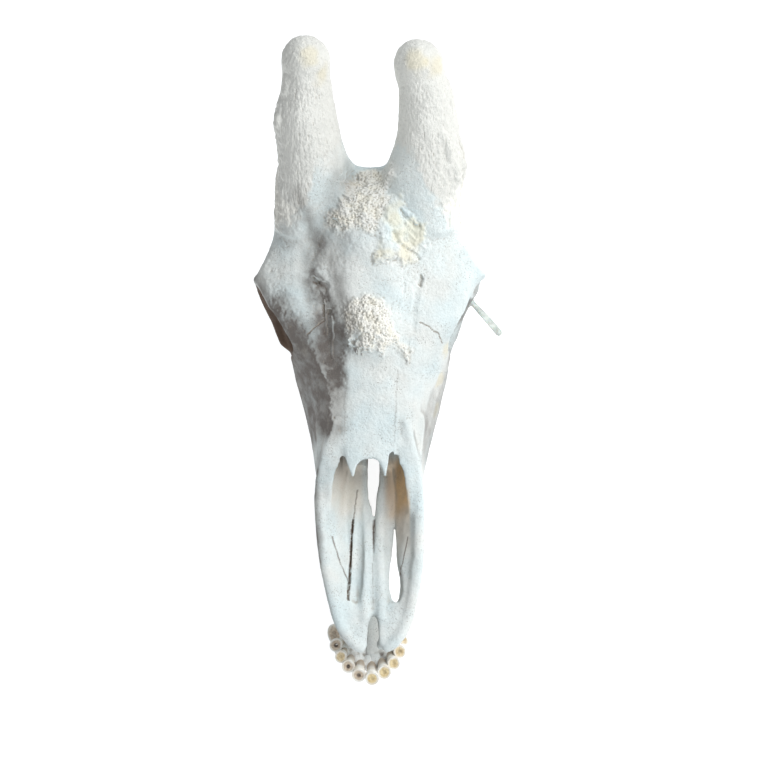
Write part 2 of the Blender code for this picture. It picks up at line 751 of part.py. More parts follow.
# The seams, as (y, z) points of planes square to the side view. Each runs from its lower to its upper end.
FACE_SEAM = ((0.385, 0.05), (0.268, 0.30))
LIP_SEAM = ((-0.1, -0.006), (0.045, 0.070), (0.15, 0.124), (0.20, 0.149), (0.235, 0.190), (0.249, 0.220), (0.25, 0.32))
LIP_GAP = 0.00025  # half of what is left free at the lip seam, measured upright


def before_face_seam(by):
    low, high = shifted(FACE_SEAM, *FACE_SEAM, by)
    return [low, high, (-0.1, high[1]), (-0.1, low[1])]


def behind_face_seam(by):
    low, high = shifted(FACE_SEAM, *FACE_SEAM, -by)
    return [low, (1.0, low[1]), (1.0, 0.7), (high[0], 0.7), high]


def above_lip_seam():
    return [(y, z + LIP_GAP) for y, z in LIP_SEAM[:-1]] + [LIP_SEAM[-1], (-0.1, 0.32)]


def below_lip_seam():
    edge = [(y, z - LIP_GAP) for y, z in LIP_SEAM[:-1]]
    return edge + [(LIP_SEAM[-1][0] + LIP_GAP, 0.32), (0.5, 0.32), (0.5, -0.01), (-0.1, -0.01)]


def half_space(side):
    low, high = (GAP / 2, 0.3) if side > 0 else (-0.3, -GAP / 2)
    return low, high


PROCESS_HALF_WIDTH = 0.0228
PROCESS_BACK = 0.176


def part_whole(whole):
    """Parts the fused skull into the bones and horns that a person would name."""
    nodes = {}
    for name, side in SIDES.items():
        cap = side_prism("cap", above_horn_seam(GAP / 2), *half_space(side))
        nodes["ossicone_" + name] = keep(duplicate(whole, "ossicone_" + name), [cap])
    for name, side in SIDES.items():
        region = top_prism("nasal", nasal_outline(0.0, side), 0.150, 0.34)
        nodes["nasal_" + name] = keep(duplicate(whole, "nasal_" + name), [region])
    rest = cut(whole, [
        top_prism("nasal_slot", nasal_outline(GAP), 0.150, 0.34),
        side_prism("cap", above_horn_seam(-GAP / 2), -0.3, 0.3),
    ])
    cranium = side_prism("back", behind_face_seam(GAP / 2), -0.3, 0.3)
    nodes["cranium"] = keep(duplicate(rest, "cranium"), [cranium])
    for name, side in SIDES.items():
        low, high = half_space(side)
        lip = side_prism("lip", above_lip_seam(), low, high)
        inner = top_prism("inner", [(low, -0.1), (side * PROCESS_HALF_WIDTH, -0.1),
                                    (side * PROCESS_HALF_WIDTH, PROCESS_BACK), (low, PROCESS_BACK)]
                          if side > 0 else [(high, -0.1), (side * PROCESS_HALF_WIDTH, -0.1),
                                            (side * PROCESS_HALF_WIDTH, PROCESS_BACK), (high, PROCESS_BACK)],
                          0.03, 0.30)
        premaxilla = duplicate(rest, "premaxilla_" + name)
        nodes["premaxilla_" + name] = keep(premaxilla, [fuse([lip, inner])])
        lower = side_prism("lower", below_lip_seam(), low, high)
        front = side_prism("front", before_face_seam(GAP / 2), low, high)
        maxilla = keep(duplicate(rest, "maxilla_" + name), [lower, front])
        reach = PROCESS_HALF_WIDTH + GAP
        nodes["maxilla_" + name] = cut(maxilla, [
            top_prism("inner", [(-reach, -0.1), (reach, -0.1), (reach, PROCESS_BACK + GAP),
                                (-reach, PROCESS_BACK + GAP)], 0.03, 0.30)
        ])
    bpy.data.objects.remove(rest)
    return {name: largest_surface(obj) for name, obj in nodes.items()}


def above_horn_seam(by):
    low, high = shifted(OSSICONE_SEAM, *OSSICONE_SEAM, by)
    return [low, high, (high[0], 0.7), (low[0], 0.7)]


# The lines of one half of the lower jaw: middle of its thickness, lower and upper edge, and thickness.
JAW_X = line((0.0, 0.0135), (0.05, 0.0110), (0.09, 0.0115), (0.13, 0.0185), (0.17, 0.033), (0.22, 0.045), (0.30, 0.052),
             (0.38, 0.061), (0.44, 0.071))
JAW_LOW = line((0.0, 0.036), (0.04, 0.027), (0.08, 0.021), (0.12, 0.015), (0.17, 0.006), (0.22, 0.0), (0.30, 0.0015),
               (0.38, 0.0020), (0.41, 0.006), (0.44, 0.020))
JAW_HIGH = line((0.0, 0.050), (0.04, 0.055), (0.08, 0.053), (0.12, 0.051), (0.155, 0.058), (0.19, 0.077), (0.26, 0.086),
                (0.36, 0.094), (0.41, 0.092), (0.44, 0.080))
JAW_THICK = line((0.0, 0.030), (0.05, 0.026), (0.10, 0.025), (0.15, 0.018), (0.22, 0.022), (0.34, 0.026), (0.39, 0.020),
                 (0.44, 0.008))


def jaw_body():
    rings = []
    for y in stations(0.0, 0.44, 0.02):
        low, high = JAW_LOW(y), JAW_HIGH(y)
        centre = Vector((JAW_X(y), y, (low + high) / 2))
        ring = []
        for k in range(16):
            angle = 2 * math.pi * k / 16
            shape = (abs(math.cos(angle)) ** 0.75, abs(math.sin(angle)) ** 0.85)
            ring.append(centre + Vector((
                math.copysign(shape[0], math.cos(angle)) * JAW_THICK(y) / 2,
                0,
                math.copysign(shape[1], math.sin(angle)) * (high - low) / 2,
            )))
        rings.append(ring)
    return loft("jaw", rings)


def tooth_shelf():
    """The rounded front of the jaw that holds the front teeth."""
    return rod("shelf", [
        (0.006, -0.004, 0.044, 0.010),
        (0.020, 0.000, 0.044, 0.010),
        (0.031, 0.012, 0.044, 0.0095),
        (0.036, 0.028, 0.044, 0.0075),
        (0.028, 0.050, 0.044, 0.0055),
    ])


def ramus():
    """The flat upright branch of the jaw, with its angle, coronoid process and neck."""
    outline = (
        (0.395, 0.004), (0.440, 0.000), (0.480, 0.008), (0.512, 0.034), (0.522, 0.070), (0.518, 0.110), (0.512, 0.145),
        (0.508, 0.172), (0.492, 0.174), (0.482, 0.160), (0.476, 0.180), (0.474, 0.205), (0.482, 0.234), (0.474, 0.238),
        (0.458, 0.212), (0.446, 0.180), (0.428, 0.140), (0.400, 0.098),
    )
    turn = Matrix.Rotation(math.radians(-10.5), 4, "Z")
    place = Matrix.Translation((0.0635, 0.40, 0)) @ turn @ Matrix.Translation((0, -0.40, 0)) @ side_view()
    return plate("ramus", outline, 0.0105, place)


def jaw_neck():
    return rod("neck", [(0.079, 0.500, 0.150, 0.007), (CONDYLE_CENTRE.x - 0.002, 0.500, 0.172, 0.009)])


def lower_teeth():
    return tooth_row(
        LOWER_TEETH, (1, 1, 1, 2, 2, 3), line((0.19, 0.0405), (0.27, 0.0475), (0.35, 0.053)),
        (0.012, 0.015, 0.017, 0.019, 0.020, 0.019), lambda y: JAW_HIGH(y) - 0.010, False, 1,
    )


# The front teeth: middle of the worn face, half width across, half depth, and the place of the neck. The last two on
# each side are the lobes of the canine. The right half of the arc is the flatter one.
FRONT_TEETH = {
    "left": (
        (0.0081, -0.0298, 0.0680, 0.0078, 0.0080, 0.0070, -0.006),
        (0.0231, -0.0224, 0.0680, 0.0076, 0.0078, 0.0190, -0.002),
        (0.0345, -0.0112, 0.0675, 0.0070, 0.0072, 0.0290, 0.006),
        (0.0420, 0.0033, 0.0665, 0.0070, 0.0073, 0.0350, 0.016),
        (0.0450, 0.0195, 0.0650, 0.0050, 0.0090, 0.0370, 0.026),
    ),
    "right": (
        (0.0082, -0.0261, 0.0680, 0.0078, 0.0078, 0.0065, -0.004),
        (0.0212, -0.0153, 0.0680, 0.0074, 0.0074, 0.0180, 0.002),
        (0.0304, -0.0031, 0.0675, 0.0068, 0.0070, 0.0265, 0.010),
        (0.0358, 0.0115, 0.0665, 0.0068, 0.0070, 0.0310, 0.020),
        (0.0398, 0.0240, 0.0650, 0.0056, 0.0086, 0.0340, 0.030),
    ),
}


def front_tooth(x, y, z, across, deep, neck_x, neck_y):
    """A peg that widens to a worn face, turned up towards the palate."""
    face = Vector((x, y, z))
    neck = Vector((neck_x, neck_y, 0.046))
    rise = face - neck
    rings = []
    for share, size in ((0.0, 0.62), (0.45, 0.64), (0.85, 1.0), (1.0, 0.95)):
        centre = neck + rise * share
        tilt = Vector((rise.x, rise.y, rise.z + 0.010)).normalized()
        across_way = Vector((0, 0, 1)).cross(tilt).normalized()
        deep_way = tilt.cross(across_way)
        ring = []
        for k in range(8):
            angle = 2 * math.pi * k / 8
            way = across_way * across * math.cos(angle) + deep_way * deep * math.sin(angle)
            ring.append(centre + way * size)
        rings.append(ring)
    return loft("front_tooth", rings)


def half_jaw(name, side):
    """One half of the lower jaw with its teeth, in its place under the skull."""
    body = fuse([jaw_body(), tooth_shelf(), ramus(), jaw_neck()])
    body = thinned(melted(body, VOXEL, 5), TRIANGLES["mandible"])
    teeth = lower_teeth() + [front_tooth(*sizes) for sizes in FRONT_TEETH[name]]
    body = fuse([body, ellipsoid("condyle", CONDYLE_CENTRE, CONDYLE_RADII, segments=16)] + teeth)
    half = side_prism("half", [(-0.2, REST_LEVEL), (0.8, REST_LEVEL), (0.8, 0.4), (-0.2, 0.4)], GAP / 2, 0.3)
    body = keep(body, [half])
    if side < 0:
        other = mirrored(body)
        bpy.data.objects.remove(body)
        body = other
    body.data.transform(jaw_place())
    body.name = "mandible_" + name
    return largest_surface(body)


def jaw_place():
    """The jaw is turned a little about its joints and lies with its flattened edge on the floor."""
    turn = Matrix.Translation(JAW_PIVOT) @ Matrix.Rotation(JAW_TURN, 4, "Z") @ Matrix.Translation(-JAW_PIVOT)
    return Matrix.Translation((JAW_SHIFT, 0, -REST_LEVEL)) @ turn


def joint_sockets():
    """Room in the skull for the ends of the jaw."""
    sockets = []
    for side in SIDES.values():
        centre = Vector((side * CONDYLE_CENTRE.x, CONDYLE_CENTRE.y, CONDYLE_CENTRE.z))
        grown = CONDYLE_RADII + Vector((1, 1, 1)) * 2 * GAP
        socket = ellipsoid("socket", centre, grown, segments=16)
        socket.data.transform(jaw_place())
        sockets.append(socket)
    return sockets


TIE_CENTRE = Vector((0.1180, 0.4190, 0.1925))
TIE_LOCK = Vector((0.0140, -0.0030, 0.0025))
TIE_TAIL = Vector((0.0350, -0.0430, -0.0020))


def jaw_tie():
    """A nylon tie round the cheek arch, with its lock and its loose tail."""
    rows = []
    bm = bmesh.new()
    for k in range(24):
        angle = 2 * math.pi * k / 24
        out = Vector((math.cos(angle), 0, math.sin(angle)))
        centre = TIE_CENTRE + Vector((0.0136 * out.x, 0, 0.0152 * out.z))
        corners = ((-0.0035, 0), (0.0035, 0), (0.0035, 0.0013), (-0.0035, 0.0013))
        rows.append([bm.verts.new(centre + out * deep + Vector((0, across, 0))) for across, deep in corners])
    for k, row in enumerate(rows):
        following = rows[(k + 1) % len(rows)]
        for j in range(4):
            after = (j + 1) % 4
            bm.faces.new((row[j], row[after], following[after], following[j]))
    band = from_bmesh("band", bm)
    root = TIE_CENTRE + TIE_LOCK
    lock = ellipsoid("lock", root, (0.0042, 0.0052, 0.0045), segments=12)
    along = TIE_TAIL.normalized()
    flat = Vector((0, 0, 1)).cross(along).normalized()
    rings = []
    for share, wide in ((0.0, 0.0030), (0.2, 0.0034), (0.5, 0.0038), (0.8, 0.0042), (0.95, 0.0040), (1.0, 0.0024)):
        centre = root + TIE_TAIL * share + Vector((0, 0, -0.006 * share**2))
        thick = Vector((0, 0, 0.0009))
        side = flat * wide
        rings.append([centre - side - thick, centre + side - thick, centre + side + thick, centre - side + thick])
    tie = fuse([band, lock, loft("tail", rings)])
    tie.name = "jaw_tie"
    return largest_surface(tie)


def centre_on_floor(nodes):
    """Moves the model so that the origin is the bottom centre of its box."""
    corners = np.array([vertex.co for obj in nodes.values() for vertex in obj.data.vertices])
    low, high = corners.min(axis=0), corners.max(axis=0)
    middle = (low + high) / 2
    for obj in nodes.values():
        obj.data.transform(Matrix.Translation((-middle[0], -middle[1], -low[2])))
    print("moved by", -middle[0], -middle[1], -low[2])


def main():
    clear_scene()
    nodes = part_whole(whole_upper_skull())
    nodes["cranium"] = largest_surface(cut(nodes["cranium"], joint_sockets()))
    for name, side in SIDES.items():
        maxilla = nodes["maxilla_" + name]
        nodes["maxilla_" + name] = largest_surface(fuse([maxilla] + upper_teeth(side)))
        nodes["mandible_" + name] = half_jaw(name, side)
    nodes["jaw_tie"] = jaw_tie()
    finishes = {"ossicone": HORN_BONE, "mandible": TOOTH_BONE, "maxilla": TOOTH_BONE, "jaw_tie": NYLON}
    group = bpy.data.collections.new("giraffe_skull")
    bpy.context.scene.collection.children.link(group)
    centre_on_floor(nodes)
    for name, obj in nodes.items():
        obj.name = name
        for holder in list(obj.users_collection):
            holder.objects.unlink(obj)
        group.objects.link(obj)
        finish = next((value for key, value in finishes.items() if name.startswith(key)), BONE)
        obj.data.materials.clear()
        obj.data.materials.append(material(*finish))
        print(name, sum(len(face.vertices) - 2 for face in obj.data.polygons))


main()
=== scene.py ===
import math

import bmesh
import bpy
import numpy as np
from mathutils import Matrix, Vector
from mathutils.kdtree import KDTree


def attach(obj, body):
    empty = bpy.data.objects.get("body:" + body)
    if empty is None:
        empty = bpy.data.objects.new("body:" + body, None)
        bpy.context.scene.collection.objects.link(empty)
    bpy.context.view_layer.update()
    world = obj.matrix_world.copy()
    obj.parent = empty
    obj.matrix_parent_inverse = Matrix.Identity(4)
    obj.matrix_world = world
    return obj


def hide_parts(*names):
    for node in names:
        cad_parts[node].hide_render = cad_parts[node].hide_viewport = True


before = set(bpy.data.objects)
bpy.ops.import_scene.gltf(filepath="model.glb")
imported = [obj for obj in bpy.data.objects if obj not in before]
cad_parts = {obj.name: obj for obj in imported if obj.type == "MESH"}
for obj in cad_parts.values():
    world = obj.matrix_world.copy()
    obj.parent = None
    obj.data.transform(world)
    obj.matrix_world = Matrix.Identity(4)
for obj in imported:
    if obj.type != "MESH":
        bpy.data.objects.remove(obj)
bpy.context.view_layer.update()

# The camera. It looks down on the forehead and along the snout from the front, 25 degrees off straight down, through
# a 60 mm lens, with the skull's top leaning a degree to the left. Places on the skull are measured from TIP, the point
# on the floor under the tips of its premaxillae: x to the animal's left, y back along the skull, z up.
TIP = Vector((-0.01575, -0.28896, 0.0))
bpy.ops.object.select_all(action="DESELECT")
CAMERA_PLACE = TIP + Vector((0.0191, -0.3620, 1.6228))
bpy.ops.object.camera_add(location=CAMERA_PLACE)
camera = bpy.context.object
camera.name = "camera"
camera.data.sensor_width = 36.0
camera.data.lens = 60.0
camera_turn = Matrix.Rotation(math.radians(25.0), 3, "X") @ Matrix.Rotation(math.radians(-1.05), 3, "Z")
camera.rotation_euler = camera_turn.to_euler()
bpy.context.scene.camera = camera
bpy.context.scene.view_settings.view_transform = "Standard"

# The studio: a plain pale floor that glows a little, as a lit white table does, a large soft lamp high on the
# animal's left and a weak one on its right, under an even white sky.
bpy.ops.mesh.primitive_plane_add(size=8.0, location=(0.0, 0.0, 0.0))
floor = bpy.context.object
floor.name = "floor"
paper = bpy.data.materials.new("white_paper")
paper.use_nodes = True
paper_shader = paper.node_tree.nodes["Principled BSDF"]
paper_shader.inputs["Base Color"].default_value = (0.40, 0.41, 0.42, 1.0)
paper_shader.inputs["Roughness"].default_value = 0.9
paper_shader.inputs["Emission Color"].default_value = (1.0, 1.0, 1.0, 1.0)
paper_shader.inputs["Emission Strength"].default_value = 0.80
floor.data.materials.append(paper)

sky = bpy.data.worlds.new("studio_sky")
sky.use_nodes = True
sky.node_tree.nodes["Background"].inputs["Color"].default_value = (0.93, 0.97, 1.0, 1.0)
sky.node_tree.nodes["Background"].inputs["Strength"].default_value = 0.53
bpy.context.scene.world = sky

LAMPS = (("key", (1.33, 0.40, 1.58), 1.8, 39.0), ("fill", (-0.6, -1.4, 1.2), 1.0, 3.0))
LIT_PLACE = Vector((0.0, 0.30, 0.25))
for lamp_name, place, size, power in LAMPS:
    bpy.ops.object.light_add(type="AREA", location=TIP + Vector(place))
    lamp = bpy.context.object
    lamp.name = lamp_name
    lamp.data.size = size
    lamp.data.energy = power
    lamp.rotation_euler = (LIT_PLACE - Vector(place)).to_track_quat("-Z", "Y").to_euler()

# The upper skull. Its bones have grown together into one shell of dry, bleached bone, so one fused and smoothed blank
# of all of them is made first. The hollows of the nose and palate are finished in it, and each bone is later cut out
# of it, flush with its neighbours. The blank isn't kept.
BLANK_VOXEL = 0.0020
FINE_VOXEL = 0.0013
FUSING_MARGIN = 0.0002
UPPER_BONES = ["cranium", "ossicone_left", "ossicone_right", "nasal_left", "nasal_right", "maxilla_left",
               "maxilla_right", "premaxilla_left", "premaxilla_right"]


def pick(*objects):
    """Selects just these objects, with the first one active."""
    bpy.ops.object.select_all(action="DESELECT")
    for obj in objects:
        obj.select_set(True)
    bpy.context.view_layer.objects.active = objects[0]


def apply_all(obj):
    """Applies all of an object's modifiers, in their order."""
    pick(obj)
    for step in list(obj.modifiers):
        bpy.ops.object.modifier_apply(modifier=step.name)


def new_object(name, mesh):
    obj = bpy.data.objects.new(name, mesh)
    bpy.context.scene.collection.objects.link(obj)
    return obj


def bone_copy(node, name, grown=FUSING_MARGIN):
    """A merged copy of a bone's solid, grown by a hair so that it fuses with its neighbours."""
    copy = new_object(name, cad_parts[node].data.copy())
    copy.data.materials.clear()
    pick(copy)
    bpy.ops.object.mode_set(mode="EDIT")
    bpy.ops.mesh.select_all(action="SELECT")
    bpy.ops.mesh.remove_doubles(threshold=1e-6)
    bpy.ops.object.mode_set(mode="OBJECT")
    if grown:
        step = copy.modifiers.new("grown", "DISPLACE")
        step.strength = grown
        step.mid_level = 0.0
        apply_all(copy)
    return copy


def carve(obj, others, operation):
    """One Boolean with a few closed meshes, which are then removed."""
    group = bpy.data.collections.new("carving")
    for other in others:
        group.objects.link(other)
    step = obj.modifiers.new("carve", "BOOLEAN")
    step.operation = operation
    step.operand_type = "COLLECTION"
    step.collection = group
    step.solver = "MANIFOLD"
    apply_all(obj)
    for other in others:
        bpy.data.objects.remove(other)
    bpy.data.collections.remove(group)
    return obj


def block(name, outline, low, high, upright):
    """A block of an outline, measured from TIP: of (x, y) points from z low to high, or if upright, of (y, z) points
    from x low to high."""
    bm = bmesh.new()
    rows = []
    for level in (low, high):
        corners = [(level, a, b) if upright else (a, b, level) for a, b in outline]
        rows.append([bm.verts.new(TIP + Vector(corner)) for corner in corners])
    bm.faces.new(rows[0])
    bm.faces.new(rows[1])
    for k in range(len(outline)):
        after = (k + 1) % len(outline)
        bm.faces.new((rows[0][k], rows[0][after], rows[1][after], rows[1][k]))
    bmesh.ops.recalc_face_normals(bm, faces=bm.faces)
    mesh = bpy.data.meshes.new(name)
    bm.to_mesh(mesh)
    bm.free()
    return new_object(name, mesh)


def remesh(obj, voxel):
    """Makes one even skin of all that overlaps."""
    step = obj.modifiers.new("even", "REMESH")
    step.mode = "VOXEL"
    step.voxel_size = voxel
    apply_all(obj)


def points_of(obj):
    co = np.empty(len(obj.data.vertices) * 3)
    obj.data.vertices.foreach_get("co", co)
    return co.reshape(-1, 3)


def places_of(obj):
    """Each point's place from TIP, in mm."""
    return (points_of(obj) - np.array(TIP)) * 1000.0


def normals_of(obj):
    normals = np.empty(len(obj.data.vertices) * 3)
    obj.data.vertices.foreach_get("normal", normals)
    return normals.reshape(-1, 3)


def put_points(obj, co):
    obj.data.vertices.foreach_set("co", co.ravel())
    obj.data.update()


def neighbour_mean(obj):
    """A function that gives each point's value as the mean of its neighbours' values."""
    mesh = obj.data
    ends = np.empty(len(mesh.edges) * 2, int)
    mesh.edges.foreach_get("vertices", ends)
    a, b = ends.reshape(-1, 2).T
    count = len(mesh.vertices)
    near = np.maximum(np.bincount(a, minlength=count) + np.bincount(b, minlength=count), 1)

    def mean(values):
        return (np.bincount(a, values[b], count) + np.bincount(b, values[a], count)) / near

    return mean


def ramp(values, low, high):
    """0 below low, 1 above high, and a soft step between them."""
    share = np.clip((values - low) / (high - low), 0.0, 1.0)
    return share * share * (3.0 - 2.0 * share)


def soften(obj, share, rounds, only_fill=False):
    """Melts the surface towards its own mean, by each point's share, or only fills what is hollow."""
    mean = neighbour_mean(obj)
    co = points_of(obj)
    for step in range(rounds):
        move = np.stack([mean(co[:, axis]) for axis in range(3)], axis=1) - co
        if only_fill:
            if step % 12 == 0:
                put_points(obj, co)
                outward = normals_of(obj)
            move = outward * np.clip((move * outward).sum(axis=1), 0.0, None)[:, None]
        co += 0.5 * share[:, None] * move
    put_points(obj, co)


def relax(obj, rounds, back=0.53):
    """Evens out the surface without shrinking it: each round moves the points in and then back out."""
    mean = neighbour_mean(obj)
    co = points_of(obj)
    for step in range(rounds * 2):
        share = 0.5 if step % 2 == 0 else -back
        for axis in range(3):
            co[:, axis] += share * (mean(co[:, axis]) - co[:, axis])
    put_points(obj, co)


UPPER_TEETH_ROOM = [(0.180, 0.05), (0.356, 0.05), (0.356, 0.1195), (0.340, 0.1185), (0.250, 0.1125), (0.180, 0.1055)]
# The floor of the nose is filled in on both sides of the middle. One long opening is then cut in its left side, a
# pointed end is given to the opening in the middle, and a trough is pressed into its right side.
NOSE_FLOOR = [(0.045, 0.0875), (0.058, 0.0902), (0.10, 0.0950), (0.15, 0.1038), (0.18, 0.1095), (0.18, 0.1035),
              (0.15, 0.0978), (0.10, 0.0890), (0.058, 0.0842), (0.045, 0.0815)]
MIDDLE_FLOOR = [(0.044, 0.0925), (0.060, 0.0960), (0.090, 0.0995), (0.120, 0.1037), (0.157, 0.1080), (0.157, 0.1030),
                (0.120, 0.0985), (0.090, 0.0945), (0.060, 0.0910), (0.044, 0.0880)]
PALATE_SLITS = [
    [(0.0263, 0.1652), (0.0281, 0.1581), (0.0269, 0.1336), (0.0250, 0.1162), (0.0225, 0.1041), (0.0209, 0.0884),
     (0.0212, 0.0744), (0.0238, 0.0622), (0.0286, 0.0561), (0.0325, 0.0621), (0.0346, 0.0777), (0.0341, 0.0882),
     (0.0316, 0.1022), (0.0305, 0.1161), (0.0307, 0.1336), (0.0301, 0.1563)],
    [(-0.0033, 0.2139), (-0.0010, 0.1900), (0.0010, 0.1700), (0.0030, 0.1560), (0.0042, 0.1560), (0.0062, 0.1750),
     (0.0084, 0.2137)],
]
UNDER_NASALS = [(0.165, 0.150), (0.165, 0.1615), (0.190, 0.1805), (0.220, 0.1955), (0.255, 0.2125), (0.262, 0.195),
                (0.262, 0.165), (0.230, 0.150)]
# The broken front edge of the nasal bones, from the cleft on the animal's right to that on its left.
NASAL_EDGE = [(-0.0308, 0.2150), (-0.0285, 0.2070), (-0.0268, 0.2017), (-0.0235, 0.1935), (-0.0205, 0.1862),
              (-0.0190, 0.1864), (-0.0178, 0.1920), (-0.0165, 0.1975), (-0.0149, 0.2010), (-0.0125, 0.2032),
              (-0.0101, 0.2054), (-0.0084, 0.2044), (-0.0062, 0.2064), (-0.0044, 0.2032), (-0.0028, 0.2062),
              (0.0000, 0.2076), (0.0019, 0.2060), (0.0045, 0.2076), (0.0072, 0.2056), (0.0103, 0.2050),
              (0.0122, 0.2005), (0.0138, 0.1985), (0.0152, 0.1950), (0.0166, 0.1905), (0.0178, 0.1843),
              (0.0192, 0.1846), (0.0204, 0.1930), (0.0222, 0.2007), (0.0230, 0.2070), (0.0240, 0.2125),
              (0.0262, 0.2130), (0.0294, 0.2187)]

# The web of bone that rounds off the notch between the horns, from the right horn round to the left, in mm.
WEB = [(-37.4, 537.8, 404.1), (-34.0, 530.1, 387.0), (-29.1, 521.4, 372.3), (-18.1, 513.7, 357.1), (-3.6, 512.0, 347.3),
       (12.5, 512.4, 343.2), (30.2, 515.4, 346.7), (44.1, 523.7, 358.1), (50.4, 534.8, 377.2), (52.8, 543.6, 395.5)]

# The outer rim of each eye socket, which flares out from the corner of its roof forwards to the cheek, and the blunt
# end of the left premaxilla.
SOCKET_RIM = [(0.1330, 0.4190, 0.2560), (0.1300, 0.4130, 0.2400), (0.1262, 0.4085, 0.2220), (0.1215, 0.4030, 0.2060),
              (0.1160, 0.3960, 0.1925), (0.1115, 0.3850, 0.1845), (0.1065, 0.3725, 0.1810), (0.1000, 0.3655, 0.1815),
              (0.0925, 0.3600, 0.1830), (0.0830, 0.3490, 0.1800)]
RIM_RADIUS = 0.0056
WEB_RADIUS = 0.0092
LIP_END = (0.0105, 0.0085, 0.0800)


def bead(spot, radius, stretch=(1.0, 1.0, 1.0)):
    """A small round lump, melted into what it touches when the bone is smoothed."""
    bpy.ops.object.select_all(action="DESELECT")
    bpy.ops.mesh.primitive_ico_sphere_add(subdivisions=3, radius=radius, location=(0.0, 0.0, 0.0))
    lump = bpy.context.object
    lump.data.transform(Matrix.Translation(TIP + Vector(spot)) @ Matrix.Diagonal((*stretch, 1.0)))
    return lump


blank_parts = [bead(Vector(spot) / 1000.0, WEB_RADIUS) for spot in WEB]
for side in (-1.0, 1.0):
    for start, end in zip(SOCKET_RIM[:-1], SOCKET_RIM[1:]):
        for share in (0.0, 0.33, 0.67):
            spot = Vector(start).lerp(Vector(end), share)
            blank_parts.append(bead((side * spot.x, spot.y, spot.z), RIM_RADIUS))
blank_parts.append(bead(LIP_END, 0.0062, (1.0, 1.1, 0.8)))
for node in UPPER_BONES:
    part = bone_copy(node, "part_of_blank")
    if node.startswith("maxilla"):
        carve(part, [block("teeth", UPPER_TEETH_ROOM, -0.1, 0.1, True)], "DIFFERENCE")
    blank_parts.append(part)
RAISED_FLOOR = [(y, z + 0.0035) for y, z in NOSE_FLOOR]
for outline, low, high in ((MIDDLE_FLOOR, -0.0085, 0.0095), (NOSE_FLOOR, -0.0325, -0.008),
                           (RAISED_FLOOR, -0.0265, -0.008), (NOSE_FLOOR, 0.018, 0.0355)):
    blank_parts.append(block("nose_floor", outline, low, high, True))
blank_parts[-1], blank_parts[0] = blank_parts[0], blank_parts[-1]
blank = blank_parts.pop()
blank.name = "blank"
carve(blank, blank_parts, "UNION")

# The trough in the right side of the nose's floor.
TROUGH_SIZE = (0.0088, 0.074, 0.0095)
TROUGH_MIDDLE = Vector((-0.0165, 0.120, 0.1078))
TROUGH_RUN = Vector((0.0060, 0.136, 0.0200))
bpy.ops.object.select_all(action="DESELECT")
bpy.ops.mesh.primitive_uv_sphere_add(segments=32, ring_count=24, radius=1.0, location=(0.0, 0.0, 0.0))
trough = bpy.context.object
pick(trough)
bpy.ops.object.mode_set(mode="EDIT")
bpy.ops.mesh.select_all(action="SELECT")
bpy.ops.transform.resize(value=TROUGH_SIZE)
bpy.ops.object.mode_set(mode="OBJECT")
trough.data.transform(Matrix.Translation(TIP + TROUGH_MIDDLE)
                      @ TROUGH_RUN.to_track_quat("Y", "Z").to_matrix().to_4x4())
carve(blank, [trough], "DIFFERENCE")
remesh(blank, BLANK_VOXEL)
relax(blank, 60)

# The corners of the eye sockets are drawn to a point, the forehead and the horns' roots are melted smooth, and the
# dome of the forehead is raised.
SOCKET_CORNER = 417.0
places = places_of(blank)
narrower = ramp(np.abs(places[:, 0]), 116.0, 142.0) * ramp(places[:, 2], 236.0, 250.0) * 0.85
moved = points_of(blank)
moved[:, 1] -= narrower * (places[:, 1] - SOCKET_CORNER) / 1000.0
put_points(blank, moved)
places = places_of(blank)
out_x, back_y, up_z = np.abs(places[:, 0]), places[:, 1], places[:, 2]
forehead = ramp(90.0 - out_x, 0.0, 20.0) * ramp(back_y, 285.0, 305.0) * ramp(540.0 - back_y, 0.0, 25.0)
forehead = forehead * ramp(up_z, 215.0, 230.0) * ramp(350.0 - up_z, 0.0, 20.0)
soften(blank, forehead, 90)
horn_roots = ramp(back_y, 395.0, 415.0) * ramp(560.0 - back_y, 0.0, 20.0) * ramp(up_z, 235.0, 250.0)
soften(blank, horn_roots * ramp(430.0 - up_z, 0.0, 30.0), 180, True)
web_zone = ramp(60.0 - out_x, 0.0, 10.0) * ramp(back_y, 490.0, 505.0) * ramp(up_z, 320.0, 335.0)
soften(blank, web_zone * ramp(430.0 - up_z, 0.0, 30.0), 60)
dome = ramp(52.0 - np.abs(places[:, 0] - 5.0), 0.0, 32.0) * ramp(back_y, 300.0, 365.0)
dome *= ramp(515.0 - back_y, 0.0, 60.0)
dome *= ramp(normals_of(blank)[:, 2], 0.1, 0.5) * ramp(up_z, 215.0, 235.0)
put_points(blank, points_of(blank) + np.outer(dome * 0.008, (0.0, -0.3, 0.95)))
soften(blank, forehead, 25)

hollows = [block("slit", outline, 0.05, 0.17, False) for outline in PALATE_SLITS]
hollows.append(block("under_nasals", UNDER_NASALS, -0.029, 0.029, True))
hollows.append(block("before_nasals", NASAL_EDGE + [(0.0294, 0.17), (-0.0308, 0.17)], 0.165, 0.25, False))
carve(blank, hollows, "DIFFERENCE")
remesh(blank, FINE_VOXEL)
relax(blank, 8)


